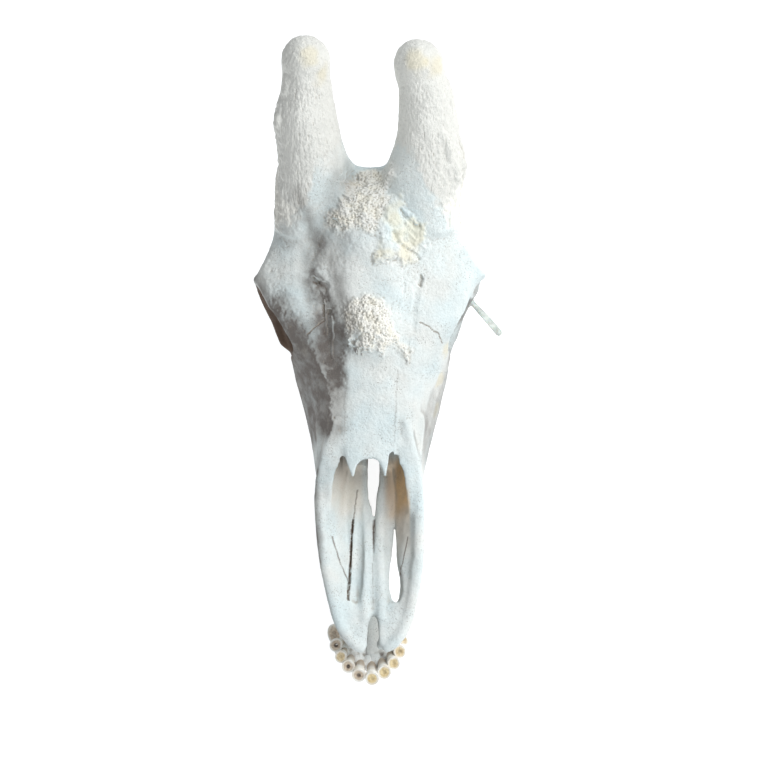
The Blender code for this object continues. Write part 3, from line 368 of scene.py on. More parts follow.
# Sculpting the blank. Weather and growth have left their marks on the top of this skull: two crusts of knobbly new
# bone on the forehead, rough sheaths on the horns, a pit with a groove running forward from it above each eye, and a
# few cracks. Lengths here are in mm, and lines are (x, y) points as seen from above, unless they have three numbers.
def hashed(cells, seed):
    """An even random number from 0 to 1 for each whole-number cell."""
    mixed = cells[:, 0] * 73856093 ^ cells[:, 1] * 19349663 ^ cells[:, 2] * 83492791 ^ (seed * 40503 + 977)
    for factor in (0x45D9F3B, 0x119DE1F3):
        mixed = (mixed ^ (mixed >> 16)) * factor & 0xFFFFFFFF
    return (mixed ^ (mixed >> 16)) / 4294967295.0


def speckle(points, size, seed):
    """Soft random unevenness from -1 to 1, with patches of about the given size."""
    cells = np.floor(points / size).astype(np.int64)
    part = points / size - cells
    part = part * part * (3.0 - 2.0 * part)
    total = np.zeros(len(points))
    for corner in np.ndindex(2, 2, 2):
        weight = np.prod(np.where(corner, part, 1.0 - part), axis=1)
        total += weight * hashed(cells + np.array(corner), seed)
    return total * 2.0 - 1.0


def knobs(points, size, seed):
    """Round knobs set close together: 1 in the middle of each, down to 0 between them."""
    cells = np.floor(points / size).astype(np.int64)
    nearest = np.full(len(points), 9.0)
    for step in np.ndindex(3, 3, 3):
        other = cells + np.array(step) - 1
        middle = other + np.stack([hashed(other, seed + axis) for axis in range(3)], axis=1)
        nearest = np.minimum(nearest, ((points / size - middle) ** 2).sum(axis=1))
    return 1.0 - np.clip(np.sqrt(nearest), 0.0, 1.0)


NEAR = 60.0


def off_line(points, line):
    """Distance of each point from a line of points, measured only near the line."""
    line = np.array(line, float)
    spots = points[:, :line.shape[1]]
    near = ((spots > line.min(axis=0) - NEAR) & (spots < line.max(axis=0) + NEAR)).all(axis=1)
    spots = spots[near]
    nearest = np.full(len(spots), 1e9)
    for start, end in zip(line[:-1], line[1:]):
        run = end - start
        share = np.clip((spots - start) @ run / (run @ run), 0.0, 1.0)
        nearest = np.minimum(nearest, np.linalg.norm(spots - start - share[:, None] * run, axis=1))
    away = np.full(len(points), 1e9)
    away[near] = nearest
    return away


def within(points, outline):
    """How far each point lies inside an outline seen from above; negative outside."""
    x, y = points[:, 0], points[:, 1]
    odd = np.zeros(len(points), bool)
    for (ax, ay), (bx, by) in zip(outline, outline[1:] + outline[:1]):
        if ay != by:
            odd ^= ((ay > y) != (by > y)) & (x < (bx - ax) * (y - ay) / (by - ay) + ax)
    return off_line(points, outline + outline[:1]) * np.where(odd, 1.0, -1.0)


# The outlines of the two crusts, seen from above.
FRONT_CRUST = [(-21.9, 367.8), (-14.7, 371.4), (0.0, 374.9), (16.2, 368.5), (23.3, 357.4), (30.4, 345.2), (33.8, 334.6),
               (40.0, 333.0), (46.0, 325.0), (52.0, 313.0), (51.0, 303.0), (45.5, 308.0), (40.0, 318.0), (31.0, 321.0),
               (24.4, 318.8), (18.8, 311.0), (15.1, 312.5), (10.0, 322.8), (6.4, 318.3), (0.9, 316.1), (-10.1, 316.1),
               (-11.8, 321.4), (-7.9, 328.1), (-13.4, 330.6), (-21.0, 325.9), (-22.6, 332.4), (-28.2, 336.4),
               (-27.9, 349.2), (-33.2, 355.9)]
HIND_CRUST = [(-22.2, 489.4), (2.6, 512.2), (24.6, 510.7), (33.4, 490.1), (27.7, 476.7), (38.4, 468.6), (45.2, 458.9),
              (64.9, 446.0), (70.3, 441.2), (72.2, 428.6), (62.8, 414.8), (44.3, 407.5), (26.2, 408.2), (13.4, 408.1),
              (11.9, 414.3), (19.4, 423.7), (14.0, 429.6), (1.5, 432.6), (-5.5, 437.8), (-18.2, 439.2), (-29.2, 439.7),
              (-45.2, 447.3), (-37.4, 459.0), (-26.3, 474.9)]
# The narrow slit in the right side of the nose's floor and the seam in its middle.
FLOOR_SLIT = [(-22.4, 158.0), (-24.2, 143.0), (-25.8, 117.0), (-27.3, 89.0), (-29.0, 71.0), (-29.0, 60.0)]
FLOOR_SEAM = [(-0.2, 38.0), (0.4, 64.0), (1.3, 104.0), (2.7, 134.0), (3.4, 158.0)]
# Lines with a half width and a depth: pits and grooves are deep, splinters of bone stand up.
GROOVES = [
    ([(-62.5, 397.8), (-60.0, 394.0)], 2.4, 2.8),
    ([(-56.5, 393.0), (-52.0, 391.0), (-48.5, 387.0)], 4.2, 3.4),
    ([(-60.8, 395.3), (-55.1, 383.2), (-50.5, 374.5), (-49.6, 363.3), (-51.1, 353.2), (-50.3, 338.9)], 5.0, 1.3),
    ([(-46.4, 364.0), (-46.4, 361.5)], 2.0, 3.0),
    ([(-53.0, 370.1), (-51.9, 359.1)], 1.5, 1.6),
    ([(-48.0, 333.6), (-46.0, 321.2), (-45.0, 313.0)], 2.4, 0.6),
    ([(65.2, 396.3), (63.1, 389.0)], 2.3, 3.2),
    ([(62.2, 385.7), (59.3, 376.0), (57.2, 365.0), (55.9, 341.6)], 3.0, 0.9),
    ([(54.0, 337.0), (48.3, 327.2), (49.8, 308.5)], 1.6, 0.9),
    ([(44.9, 387.9), (45.6, 378.4)], 1.2, 0.9),
    ([(42.6, 456.8), (51.0, 449.7), (58.0, 444.7), (64.1, 443.7)], 2.2, 2.4),
    ([(34.1, 434.5), (36.4, 428.8), (39.3, 425.8), (50.5, 422.5), (63.0, 417.8)], 2.2, 2.2),
    ([(-37.0, 449.7), (-34.0, 448.0)], 2.6, 3.0),
    ([(-27.2, 439.6), (-24.0, 441.0)], 2.4, 2.8),
]
RIDGES = [
    ([(-52.5, 374.0), (-50.0, 356.8), (-50.3, 338.9)], 1.5, 1.1),
    ([(-43.8, 356.0), (-42.7, 337.3), (-43.6, 314.9)], 2.4, 1.1),
    ([(91.9, 514.5, 414.6), (99.0, 504.7, 399.0), (106.2, 493.5, 381.0), (110.2, 486.8, 364.2)], 7.0, 2.2),
    ([(-96.2, 535.1, 421.7), (-96.5, 534.0, 419.0)], 9.0, 3.6),
    ([(-85.5, 563.4, 454.9), (-87.0, 556.0, 447.0)], 9.0, 2.6),
    ([(115.0, 503.3, 375.9), (115.0, 502.0, 373.0)], 7.0, 2.6),
]
CRACKS = [
    [(-50.8, 355.8), (-60.9, 349.1), (-71.5, 342.4)],
    [(62.4, 349.7), (74.4, 347.5), (81.7, 342.0), (91.1, 335.3)],
]
# How far down its horn the rough sheath reaches, as a share of the horn, by how far out to the side the spot is.
SHEATH_RIGHT = [(26.0, 0.44), (57.0, 0.325), (61.5, 0.188), (75.0, 0.035), (93.0, -0.055), (108.0, -0.13)]
SHEATH_LEFT = [(48.0, 0.45), (64.0, 0.361), (76.0, 0.161), (98.0, -0.028), (114.0, -0.169)]
HORN_AXIS = np.array([0.0, 0.607, 0.795])
# The shallow valley that runs forward from the right horn's root, past the pit above the right eye, to the nose.
VALLEY = [(-14.1, 498.0), (-30.4, 473.7), (-45.2, 456.8), (-58.0, 440.7), (-68.6, 423.6), (-71.0, 402.8),
          (-62.0, 381.1), (-52.0, 361.5), (-46.0, 335.4), (-42.7, 309.8), (-39.5, 276.6), (-37.5, 242.3)]


def along_horn(points):
    """Each point's place along its horn: 0 at the root, 1 at the tip."""
    return ((points[:, 1] - 478.0) * 0.107 + (points[:, 2] - 320.0) * 0.14) / 31.05


def sheath_mask(points):
    """Where the rough sheath of each horn lies."""
    side = points[:, 0]
    lowest = np.where(side < 0, np.interp(-side, *zip(*SHEATH_RIGHT)), np.interp(side, *zip(*SHEATH_LEFT)))
    edge = along_horn(points) - lowest + 0.05 * speckle(points, 9.0, 31) + 0.03 * speckle(points, 4.0, 32)
    return ramp(edge, -0.05, 0.07) * ramp(points[:, 2], 225.0, 245.0) * ramp(np.abs(side), 20.0, 30.0)


def crust_masks(points, upward):
    """The front crust, the knobbly left part of the hind crust and its smoother right lobe."""
    wobble = 4.5 * speckle(points, 11.0, 10) + 2.8 * speckle(points, 6.0, 11) + 2.0 * speckle(points, 2.8, 12)
    top = ramp(upward, 0.05, 0.3) * ramp(points[:, 2], 215.0, 230.0)
    front, hind = (top * ramp(within(points, outline) + wobble, -5.0, 6.0) for outline in (FRONT_CRUST, HIND_CRUST))
    lobe = hind * ramp(points[:, 0] - 0.5 * (points[:, 1] - 440.0), 12.0, 22.0)
    return front, hind - lobe, lobe


def sculpt(points, upward):
    """How far each point is raised, in mm."""
    rise = 0.35 * speckle(points, 18.0, 1) + 0.16 * speckle(points, 6.0, 2)
    top = ramp(upward, 0.0, 0.4) * ramp(points[:, 2], 190.0, 210.0)
    pebbled = top * (0.3 + 0.7 * ramp(speckle(points, 30.0, 3), -0.5, 0.4))
    rise += pebbled * (0.30 * speckle(points, 3.8, 4) + 0.26 * speckle(points, 2.0, 5))
    swayed = points + 1.5 * np.stack([speckle(points, 7.0, 8), speckle(points, 5.0, 9), top * 0.0], axis=1)
    for line, half, depth in GROOVES:
        rise -= depth * top * ramp(half - off_line(swayed, line), -0.7 * half, 0.7 * half)
    for line, half, height in RIDGES:
        here = top if len(line[0]) == 2 else 1.0
        rise += height * here * ramp(half - off_line(swayed, line), 0.0, 0.8 * half)
    shaken = points + 1.5 * speckle(points, 5.0, 6)[:, None]
    for line in CRACKS:
        rise -= 0.8 * top * ramp(1.0 - off_line(shaken, line), 0.0, 0.6)
    rise -= 4.2 * top * ramp(20.0 - off_line(points, VALLEY) + 3.0 * speckle(points, 14.0, 14), 0.0, 20.0) * ramp(
        points[:, 1], 240.0, 320.0)
    low = ramp(upward, 0.0, 0.3) * ramp(130.0 - points[:, 2], 0.0, 8.0) * ramp(points[:, 2], 76.0, 82.0)
    rise -= 4.5 * low * ramp(1.3 - off_line(points, FLOOR_SLIT), -0.6, 0.6)
    rise -= 2.6 * low * ramp(points[:, 1], 100.0, 140.0) * ramp(1.3 - off_line(points, FLOOR_SEAM), -0.8, 0.6)
    front, hind, lobe = crust_masks(points, upward)
    crust = front + hind
    busy = np.where(crust > 0.01)[0]
    bumps = np.zeros(len(points))
    bumps[busy] = (2.6 * knobs(points[busy], 9.0, 41) + 1.9 * knobs(points[busy], 3.3, 45)
                   + 1.8 * speckle(points[busy], 14.0, 49) + 1.0 * speckle(points[busy], 1.9, 50))
    rise += crust * (0.5 + bumps)
    rise += lobe * (3.4 + 1.8 * speckle(points, 12.0, 51) + 1.0 * speckle(points, 4.5, 52)
                    + 0.4 * speckle(points, 2.2, 53))
    sheath = sheath_mask(points)
    busy = np.where(sheath > 0.01)[0]
    drawn = points[busy]
    drawn = drawn - np.outer(drawn @ HORN_AXIS, HORN_AXIS) * 0.60
    long_drawn = drawn - np.outer(drawn @ HORN_AXIS, HORN_AXIS) * 0.60
    outside = ramp(np.abs(points[:, 0]), 82.0, 100.0)
    bark = np.zeros(len(points))
    rougher = ramp(speckle(points[busy], 24.0, 60), -0.5, 0.5)
    bark[busy] = ((0.20 + 0.30 * rougher) * knobs(drawn, 2.0, 63) + 1.0 * speckle(points[busy], 17.0, 67)
                  + 0.22 * speckle(long_drawn, 1.3, 68) + 0.30 * speckle(drawn, 1.3, 69)
                  + 0.35 * speckle(points[busy], 4.0, 66)
                  - 0.45 * rougher * ramp(speckle(long_drawn, 2.6, 61), 0.40, 0.65)
                  + outside[busy] * (2.0 * ramp(speckle(long_drawn, 6.0, 62), 0.0, 0.6)
                                     + 1.0 * speckle(points[busy], 5.0, 64)))
    tip = ramp(along_horn(points), 0.84, 0.97)
    rise += sheath * (0.3 + bark * (1.0 - 0.5 * tip))
    return rise


places = places_of(blank)
outward = normals_of(blank)
front, hind, lobe = crust_masks(places, outward[:, 2])
fine = (front + hind + lobe + sheath_mask(places) > 0.02) & (outward[:, 1] < 0.35)
for line, half, _ in GROOVES + RIDGES:
    fine |= (off_line(places, line) < half + 2.0) & (places[:, 2] > 225.0)
pick(blank)
bpy.ops.object.mode_set(mode="EDIT")
bpy.ops.mesh.select_mode(type="VERT")
bpy.ops.mesh.select_all(action="DESELECT")
bpy.ops.object.mode_set(mode="OBJECT")
blank.data.vertices.foreach_set("select", fine)
bpy.ops.object.mode_set(mode="EDIT")
bpy.ops.mesh.subdivide(number_cuts=1)
bpy.ops.object.mode_set(mode="OBJECT")
relax(blank, 2)
places = places_of(blank)
outward = normals_of(blank)
put_points(blank, points_of(blank) + outward * sculpt(places, outward[:, 2])[:, None] / 1000.0)


# Parting the blank at the seams between the bones, which meet edge to edge as grown bone does.
NASAL_HALF = [(0.0, 0.150), (0.0335, 0.150), (0.0295, 0.2175), (0.0335, 0.2375), (0.0305, 0.2705), (0.0275, 0.303)]
NASAL_REGION = NASAL_HALF + [(-x, y) for x, y in reversed(NASAL_HALF[1:])]
HORN_REGION = [(0.36, 0.334), (0.70, 0.386), (0.70, 0.75), (0.36, 0.75)]
FACE_REGION = [(0.385, 0.05), (0.245, 0.349), (-0.2, 0.349), (-0.2, -0.01), (0.385, -0.01)]
LIP_REGION = [(-0.1, -0.006), (0.045, 0.070), (0.15, 0.124), (0.20, 0.149), (0.235, 0.190), (0.249, 0.220),
              (0.25, 0.36), (-0.1, 0.36)]
ROOF_REGION = [(0.2, 0.238), (0.40, 0.236), (0.46, 0.245), (0.60, 0.300), (0.60, 0.5), (0.2, 0.5)]
INNER_REGION = [(-0.0228, -0.1), (0.0228, -0.1), (0.0228, 0.176), (-0.0228, 0.176)]


def part_off(obj, name, outline, low, high, upright):
    """Takes what lies inside a block off a mesh and returns it; the rest stays."""
    piece = new_object(name, obj.data.copy())
    carve(piece, [block("inside", outline, low, high, upright)], "INTERSECT")
    carve(obj, [block("outside", outline, low, high, upright)], "DIFFERENCE")
    return piece


def halves(obj, name):
    """Parts a mesh at the skull's middle plane into its left and right bone."""
    left = part_off(obj, name + "_left", [(0.0, -0.2), (0.3, -0.2), (0.3, 0.8), (0.0, 0.8)], -0.1, 0.7, False)
    return {name + "_left": left, name + "_right": obj}


whole = new_object("whole", blank.data.copy())
pieces = {}
pieces.update(halves(part_off(blank, "nasal", NASAL_REGION, 0.150, 0.34, False), "nasal"))
pieces.update(halves(part_off(blank, "ossicone", HORN_REGION, -0.3, 0.3, True), "ossicone"))
face = part_off(blank, "maxilla", FACE_REGION, -0.3, 0.3, True)
lip = part_off(face, "premaxilla", LIP_REGION, -0.3, 0.3, True)
inner = part_off(face, "inner", INNER_REGION, 0.03, 0.30, False)
carve(lip, [inner], "UNION")
pieces.update(halves(lip, "premaxilla"))
pieces.update(halves(face, "maxilla"))
pieces.update(halves(part_off(blank, "cranium_roof", ROOF_REGION, -0.3, 0.3, True), "cranium_roof"))
pieces["cranium_base"] = blank


# The finish of the bones: bleached, grainy and pitted bone. Every point is told how crusted it is, how cream, how much
# painted shade falls in its hollow, how much brown (stains in seams and cracks, painted shade in pits, slits and
# sockets), how much grime and painted shade, and how much amber, partly painted light through thin bone; the materials
# mix their colours by that.

# Where old fat has left the bone cream, and how far.
CREAM_SPOTS = [((-57.7, 574.2, 486.0), 17.0), ((-44.3, 563.9, 463.8), 15.0), ((60.4, 567.4, 478.9), 19.0),
               ((84.1, 567.9, 470.8), 17.0), ((-79.0, 329.1, 242.1), 12.0), ((95.4, 333.0, 227.0), 14.0),
               ((88.5, 310.2, 190.0), 14.0), ((83.5, 282.8, 160.4), 14.0)]
# Grey grime and painted shade in the lee of the brow, down the side of the dome, on the right cheek and on the right
# rail.
GRIME_AND_PAINTED_SHADE = [([(-104.0, 379.0), (-93.0, 358.0), (-84.0, 342.0)], 20.0, 0.62),
         ([(-78.0, 470.0), (-56.0, 436.0), (-43.0, 413.0), (-33.0, 387.0), (-24.0, 364.0), (-20.0, 337.0)], 13.0, 0.42),
         ([(-80.5, 310.0, 197.0), (-75.0, 291.0, 179.0), (-69.0, 268.0, 171.0), (-65.5, 241.0, 170.0)], 14.0, 0.55),
         ([(-53.0, 243.0, 196.0), (-43.0, 232.0, 202.0), (-35.0, 239.0, 205.0)], 15.0, 0.38),
         ([(-63.0, 202.0, 170.0), (-65.0, 170.0, 151.0), (-65.0, 138.0, 134.0), (-61.0, 105.0, 118.0)], 7.0, 0.45)]
# The thin left wall of the nose, which is amber, partly painted light shining through it, and the seams between the
# bones.
AMBER_WALL = [(30.9, 215.2, 190.7), (36.7, 203.1, 178.4), (41.5, 195.2, 148.0), (43.5, 171.9, 140.4),
              (38.3, 152.9, 120.7)]
SUTURES = [[(-25.1, 290.9), (-28.6, 270.7), (-29.7, 249.7), (-30.4, 228.0), (-30.8, 215.6)],
           [(36.2, 300.5), (34.7, 285.2), (33.8, 269.7), (31.6, 248.6), (30.5, 226.9), (29.4, 218.4)]]
CAVITY_SUTURES = [[(-48.0, 132.1), (-38.8, 104.1), (-29.5, 82.2)], [(34.5, 90.0), (38.5, 105.1), (45.1, 130.7)],
                  [(-22.4, 158.0), (-19.0, 176.0), (-16.5, 195.0)]]


def tints_of(piece):
    """Crust, cream, painted hollow shade, brown stain and shade, grime and shade, amber and its painted light, 0 to 1 a
    point.
    """
    places = places_of(piece)
    outward = normals_of(piece)
    x, y, z = places.T
    to_left, _, to_top = outward.T
    mean = neighbour_mean(piece)
    smooth = places.copy()
    for _ in range(4):
        smooth = 0.3 * smooth + 0.7 * np.stack([mean(smooth[:, axis]) for axis in range(3)], axis=1)
    dent = ((smooth - places) * outward).sum(axis=1)
    top = ramp(to_top, 0.0, 0.4) * ramp(z, 190.0, 210.0)
    front, hind, lobe = crust_masks(places, to_top)
    sheath = sheath_mask(places)
    cream = 0.60 * lobe * ramp(speckle(places, 12.0, 71), -0.6, 0.3) + 0.25 * (front + hind) * ramp(
        speckle(places, 7.0, 72), -0.2, 0.6)
    uneven = 5.0 * speckle(places, 8.0, 73)
    for spot, reach in CREAM_SPOTS:
        away = np.linalg.norm(places - np.array(spot), axis=1) + uneven
        cream += 0.55 * ramp(reach - away, 0.0, reach * 0.7)
    brown_and_painted_shade = np.zeros(len(places))
    swayed = places + 1.5 * np.stack([speckle(places, 7.0, 8), speckle(places, 5.0, 9), top * 0.0], axis=1)
    uneven = 1.2 * speckle(places, 3.0, 74)
    # Tan stain and painted shade in the pits and grooves, deeper ones darker, stronger on the animal's right.
    for line, half, depth in GROOVES[:10]:
        away = off_line(swayed, line) + uneven
        brown_and_painted_shade += top * min(depth / 6.0, 0.5) * ramp(0.6 * half - away, -0.5 * half, 0.6 * half) * np.where(
            x < 0, 1.0, 0.5)
    shaken = places + 1.5 * speckle(places, 5.0, 6)[:, None]
    for line in CRACKS:
        brown_and_painted_shade += 0.6 * top * ramp(0.9 - off_line(shaken, line), 0.0, 0.6)
    shaken = places + 1.6 * speckle(places, 6.0, 7)[:, None]
    for line in SUTURES:
        brown_and_painted_shade += 0.30 * top * ramp(0.9 - off_line(shaken, line), 0.0, 0.5)
    low = ramp(to_top, 0.0, 0.2) * ramp(150.0 - z, 0.0, 10.0) * ramp(z, 55.0, 65.0)
    shaken = places + 0.8 * speckle(places, 6.0, 10)[:, None]
    for line in CAVITY_SUTURES:
        brown_and_painted_shade += 0.8 * low * ramp(1.0 - off_line(shaken, line), 0.0, 0.6)
    brown_and_painted_shade += 0.45 * low * ramp(y, 45.0, 60.0) * ramp(
        0.8 - off_line(shaken, FLOOR_SEAM), 0.0, 0.6) * ramp(speckle(places, 5.0, 82), -0.6, 0.2)
    # A painted dark slit along the right side of the nose's floor, standing in for a deep opening.
    brown_and_painted_shade += low * ramp(1.7 - off_line(places, FLOOR_SLIT) + 0.3 * speckle(places, 4.0, 78), -0.1, 0.6)
    # Painted shade in the deep back part of the middle seam's groove.
    brown_and_painted_shade += 0.9 * low * ramp(y, 118.0, 140.0) * ramp(1.3 - off_line(places, FLOOR_SEAM), 0.0, 0.7)
    # Grime and painted shade on the flanks, on the slopes that face the animal's right, away from the key lamp, on its
    # rails, its left cheek, the brow and the valley; on the horns, lamp-facing slopes are painted darker and shaded
    # ones lighter.
    side = ramp(np.abs(to_left), 0.22, 0.60) * ramp(y, 215.0, 260.0) * ramp(285.0 - z, 0.0, 40.0) * ramp(z, 95.0, 130.0)
    cloudy = 0.92 + 0.12 * speckle(places, 22.0, 75) + 0.08 * speckle(places, 3.0, 76)
    grime_and_painted_shade = side * cloudy * np.where(x < 0, 1.0, 0.15)
    # Painted shade on the top's slopes that face away from the key lamp.
    grime_and_painted_shade += 0.42 * top * ramp(-to_left, 0.12, 0.75)
    # Painted shade, with grime, on the low steep faces that turn to the animal's right.
    grime_and_painted_shade += 0.55 * ramp(-to_left, 0.45, 0.95) * ramp(200.0 - z, 0.0, 20.0) * ramp(235.0 - y, 0.0, 20.0)
    # A painted dark line along the steep faces of the left cheek.
    grime_and_painted_shade += 0.55 * ramp(to_left, 0.80, 0.97) * ramp(215.0 - z, 0.0, 20.0) * ramp(y, 200.0, 230.0)
    # Grime and painted shade in patches along the right brow.
    brow = off_line(places, [(-62.0, 400.0), (-50.0, 365.0), (-46.0, 320.0), (-40.0, 290.0)])
    patches = speckle(places, 9.0, 80) + 0.5 * speckle(places, 3.0, 81)
    grime_and_painted_shade += 0.40 * top * ramp(26.0 - brow, 0.0, 22.0) * ramp(patches, -0.9, 0.4)
    # Painted shade in the valley down the dome's right flank and along its front end.
    in_valley = ramp(23.0 - off_line(places, VALLEY) + 5.0 * speckle(places, 10.0, 83), 0.0, 24.0)
    grime_and_painted_shade += 0.40 * top * in_valley * ramp(y, 230.0, 330.0)
    grime_and_painted_shade += 0.38 * top * ramp(14.0 - off_line(places, VALLEY[-4:]), 0.0, 12.0)
    # Painted shade on the right frontal plate.
    grime_and_painted_shade += 0.50 * top * ramp(370.0 - y, 0.0, 22.0) * ramp(y, 280.0, 310.0) * ramp(-x, 42.0, 58.0)
    # Grime and painted shade along the listed lines.
    uneven = 3.0 * speckle(places, 8.0, 85)
    for line, reach, share in GRIME_AND_PAINTED_SHADE:
        grime_and_painted_shade += share * ramp(reach - off_line(places, line) + uneven, 0.0, reach)
    # Painted shade on the horns' lamp-facing slopes and painted light on their shaded slopes.
    horn_side = ramp(z, 330.0, 365.0)
    grime_and_painted_shade += horn_side * (0.16 * ramp(to_left, 0.1, 0.6) - 0.16 * ramp(-to_left, 0.12, 0.75))
    # Less of the grime and painted shade round the root of the left horn.
    grime_and_painted_shade *= 1.0 - 0.9 * ramp(x, 3.0, 20.0) * ramp(y, 395.0, 430.0) * (1.0 - horn_side * ramp(to_left, 0.0, 0.2))
    # The eye sockets: painted brown shade inside a cone round each one's axis and along its rim, stronger on the
    # animal's right.
    for sign in (-1.0, 1.0):
        middle, axis = np.array([sign * 105.0, 373.0, 221.0]), np.array([sign * 0.870, -0.46, -0.17])
        away = places - middle
        deep = away @ axis
        across = away - np.outer(deep, axis)
        width = np.maximum(np.linalg.norm(across, axis=1), 1.0)
        inward = -(across * outward).sum(axis=1) / width
        socket = ramp(52.0 - width, 0.0, 6.0) * ramp(24.0 - deep, 0.0, 8.0) * ramp(deep, -75.0, -60.0) * ramp(
            np.maximum(inward, 2.0 * ramp(-deep - 22.0, 0.0, 8.0) * ramp(30.0 - width, 0.0, 6.0)), 0.05, 0.45)
        brown_and_painted_shade += socket * (0.75 + 0.2 * speckle(places, 9.0, 79)) * (1.0 if sign < 0 else 0.35)
        # Painted brown shade along the rim of each socket.
        rim = [(sign * a * 1000.0, b * 1000.0, c * 1000.0) for a, b, c in SOCKET_RIM]
        turned_out = sign * to_left
        brown_and_painted_shade += ramp(12.0 - off_line(places, rim), 0.0, 4.0) * ramp(0.93 - turned_out, 0.0, 0.25) * ramp(
            256.0 - z, 0.0, 8.0) * ramp(y, 350.0, 358.0) * (1.0 if sign < 0 else 0.4)
    # The inside of the nose with its amber wall, partly painted light shining through the thin bone, and painted brown
    # shade between the sockets of the front teeth.
    roof = np.interp(y, [0.0, 60.0, 150.0, 220.0], [88.0, 104.0, 140.0, 190.0])
    inside = ramp(roof - z, 0.0, 10.0) * ramp(50.0 - np.abs(x), 0.0, 4.0)
    inside *= ramp(y, 60.0, 90.0) * ramp(240.0 - y, 0.0, 20.0)
    # Amber: the thin bone's warm colour and painted light shining through it.
    amber_and_painted_backlight = inside * ramp(x, 14.0, 26.0) * (
        0.22 * ramp(y, 100.0, 150.0) * ramp(x, 28.0, 34.0)
        + 0.45 * ramp(y, 155.0, 195.0)
        + 0.80 * ramp(y, 145.0, 185.0) * ramp(
            34.0 - off_line(places, AMBER_WALL) + 4.0 * speckle(places, 9.0, 77), 0.0, 24.0))
    amber_and_painted_backlight += 0.16 * inside * ramp(-x, 6.0, 14.0) * ramp(y, 150.0, 190.0)
    # Painted brown shade between the sockets of the front teeth, stronger on the animal's left.
    painted_shade_between_pegs = ramp(62.0 - z, 0.0, 4.0) * ramp(z, 38.0, 44.0) * ramp(9.0 - y, 0.0, 6.0)
    brown_and_painted_shade += painted_shade_between_pegs * ramp(speckle(places, 5.0, 84), -0.3, 0.4) * np.where(x > 6.0, 0.85, 0.35)
    # hollow: painted shade in the concave spots, darker the deeper each is, left out inside the nose.
    tints = {"hollow": ramp(dent, 0.03, 0.34) * (1.0 - inside), "crust": np.maximum(front + hind, sheath),
             "cream": cream, "brown_and_painted_shade": brown_and_painted_shade, "grime_and_painted_shade": grime_and_painted_shade, "amber_and_painted_backlight": amber_and_painted_backlight}
    return {name: np.clip(values, 0.0, 1.0) for name, values in tints.items()}


def tag(obj, name, values):
    """Stores one number a point, which the material reads."""
    layer = obj.data.attributes.get(name) or obj.data.attributes.new(name, "FLOAT", "POINT")
    layer.data.foreach_set("value", np.asarray(values, dtype=np.float32))


def shade(piece):
    """Shades a piece smooth, apart from its sharp edges."""
    pick(piece)
    bpy.ops.object.shade_smooth_by_angle(angle=math.radians(50.0))


def take_over(piece, whole, known, tree, wanted):
    """Gives a bone the tints of the whole skull at each of its points, and the whole's slope along its cut edges, so
    that no line shows where two bones meet."""
    co = points_of(piece)
    nearest = np.array([known.get(spot.tobytes(), -1) for spot in co.astype(np.float32)])
    new = nearest < 0
    nearest[new] = [tree.find(spot)[1] for spot in co[new]]
    for name, values in wanted.items():
        tag(piece, name, values[nearest])
    shade(piece)
    mesh = piece.data
    corner = np.empty(len(mesh.loops), int)
    mesh.loops.foreach_get("vertex_index", corner)
    sides = np.empty(len(mesh.polygons), int)
    mesh.polygons.foreach_get("loop_total", sides)
    flat = np.empty(len(mesh.polygons) * 3)
    mesh.polygons.foreach_get("normal", flat)
    flat = np.repeat(flat.reshape(-1, 3), sides, axis=0)
    slope = normals_of(whole)[nearest[corner]]
    near_cut = new[corner] & ((slope * flat).sum(axis=1) > 0.6)
    slope[~near_cut] = 0.0
    mesh.normals_split_custom_set(slope)


def add_node(tree, kind, inputs, **settings):
    """Adds a shader node. Its inputs are numbers, colours or outputs of other nodes."""
    node = tree.nodes.new("ShaderNode" + kind)
    for key, value in settings.items():
        setattr(node, key, value)
    for key, value in inputs.items():
        if isinstance(value, bpy.types.NodeSocket):
            tree.links.new(value, node.inputs[key])
        else:
            node.inputs[key].default_value = value
    return node


def blend(tree, share, under, over, mode="MIX"):
    """The colour over laid on the colour under by a share."""
    node = add_node(tree, "Mix", {}, data_type="RGBA", blend_type=mode)
    for socket, value in zip((node.inputs[0], node.inputs[6], node.inputs[7]), (share, under, over)):
        if isinstance(value, bpy.types.NodeSocket):
            tree.links.new(value, socket)
        else:
            socket.default_value = value
    return node.outputs[2]


def stretch(tree, value, low, high, to_low=0.0, to_high=1.0):
    """Stretches the values between low and high to the new range."""
    return add_node(tree, "MapRange", {"Value": value, "From Min": low, "From Max": high, "To Min": to_low,
                                       "To Max": to_high}).outputs["Result"]


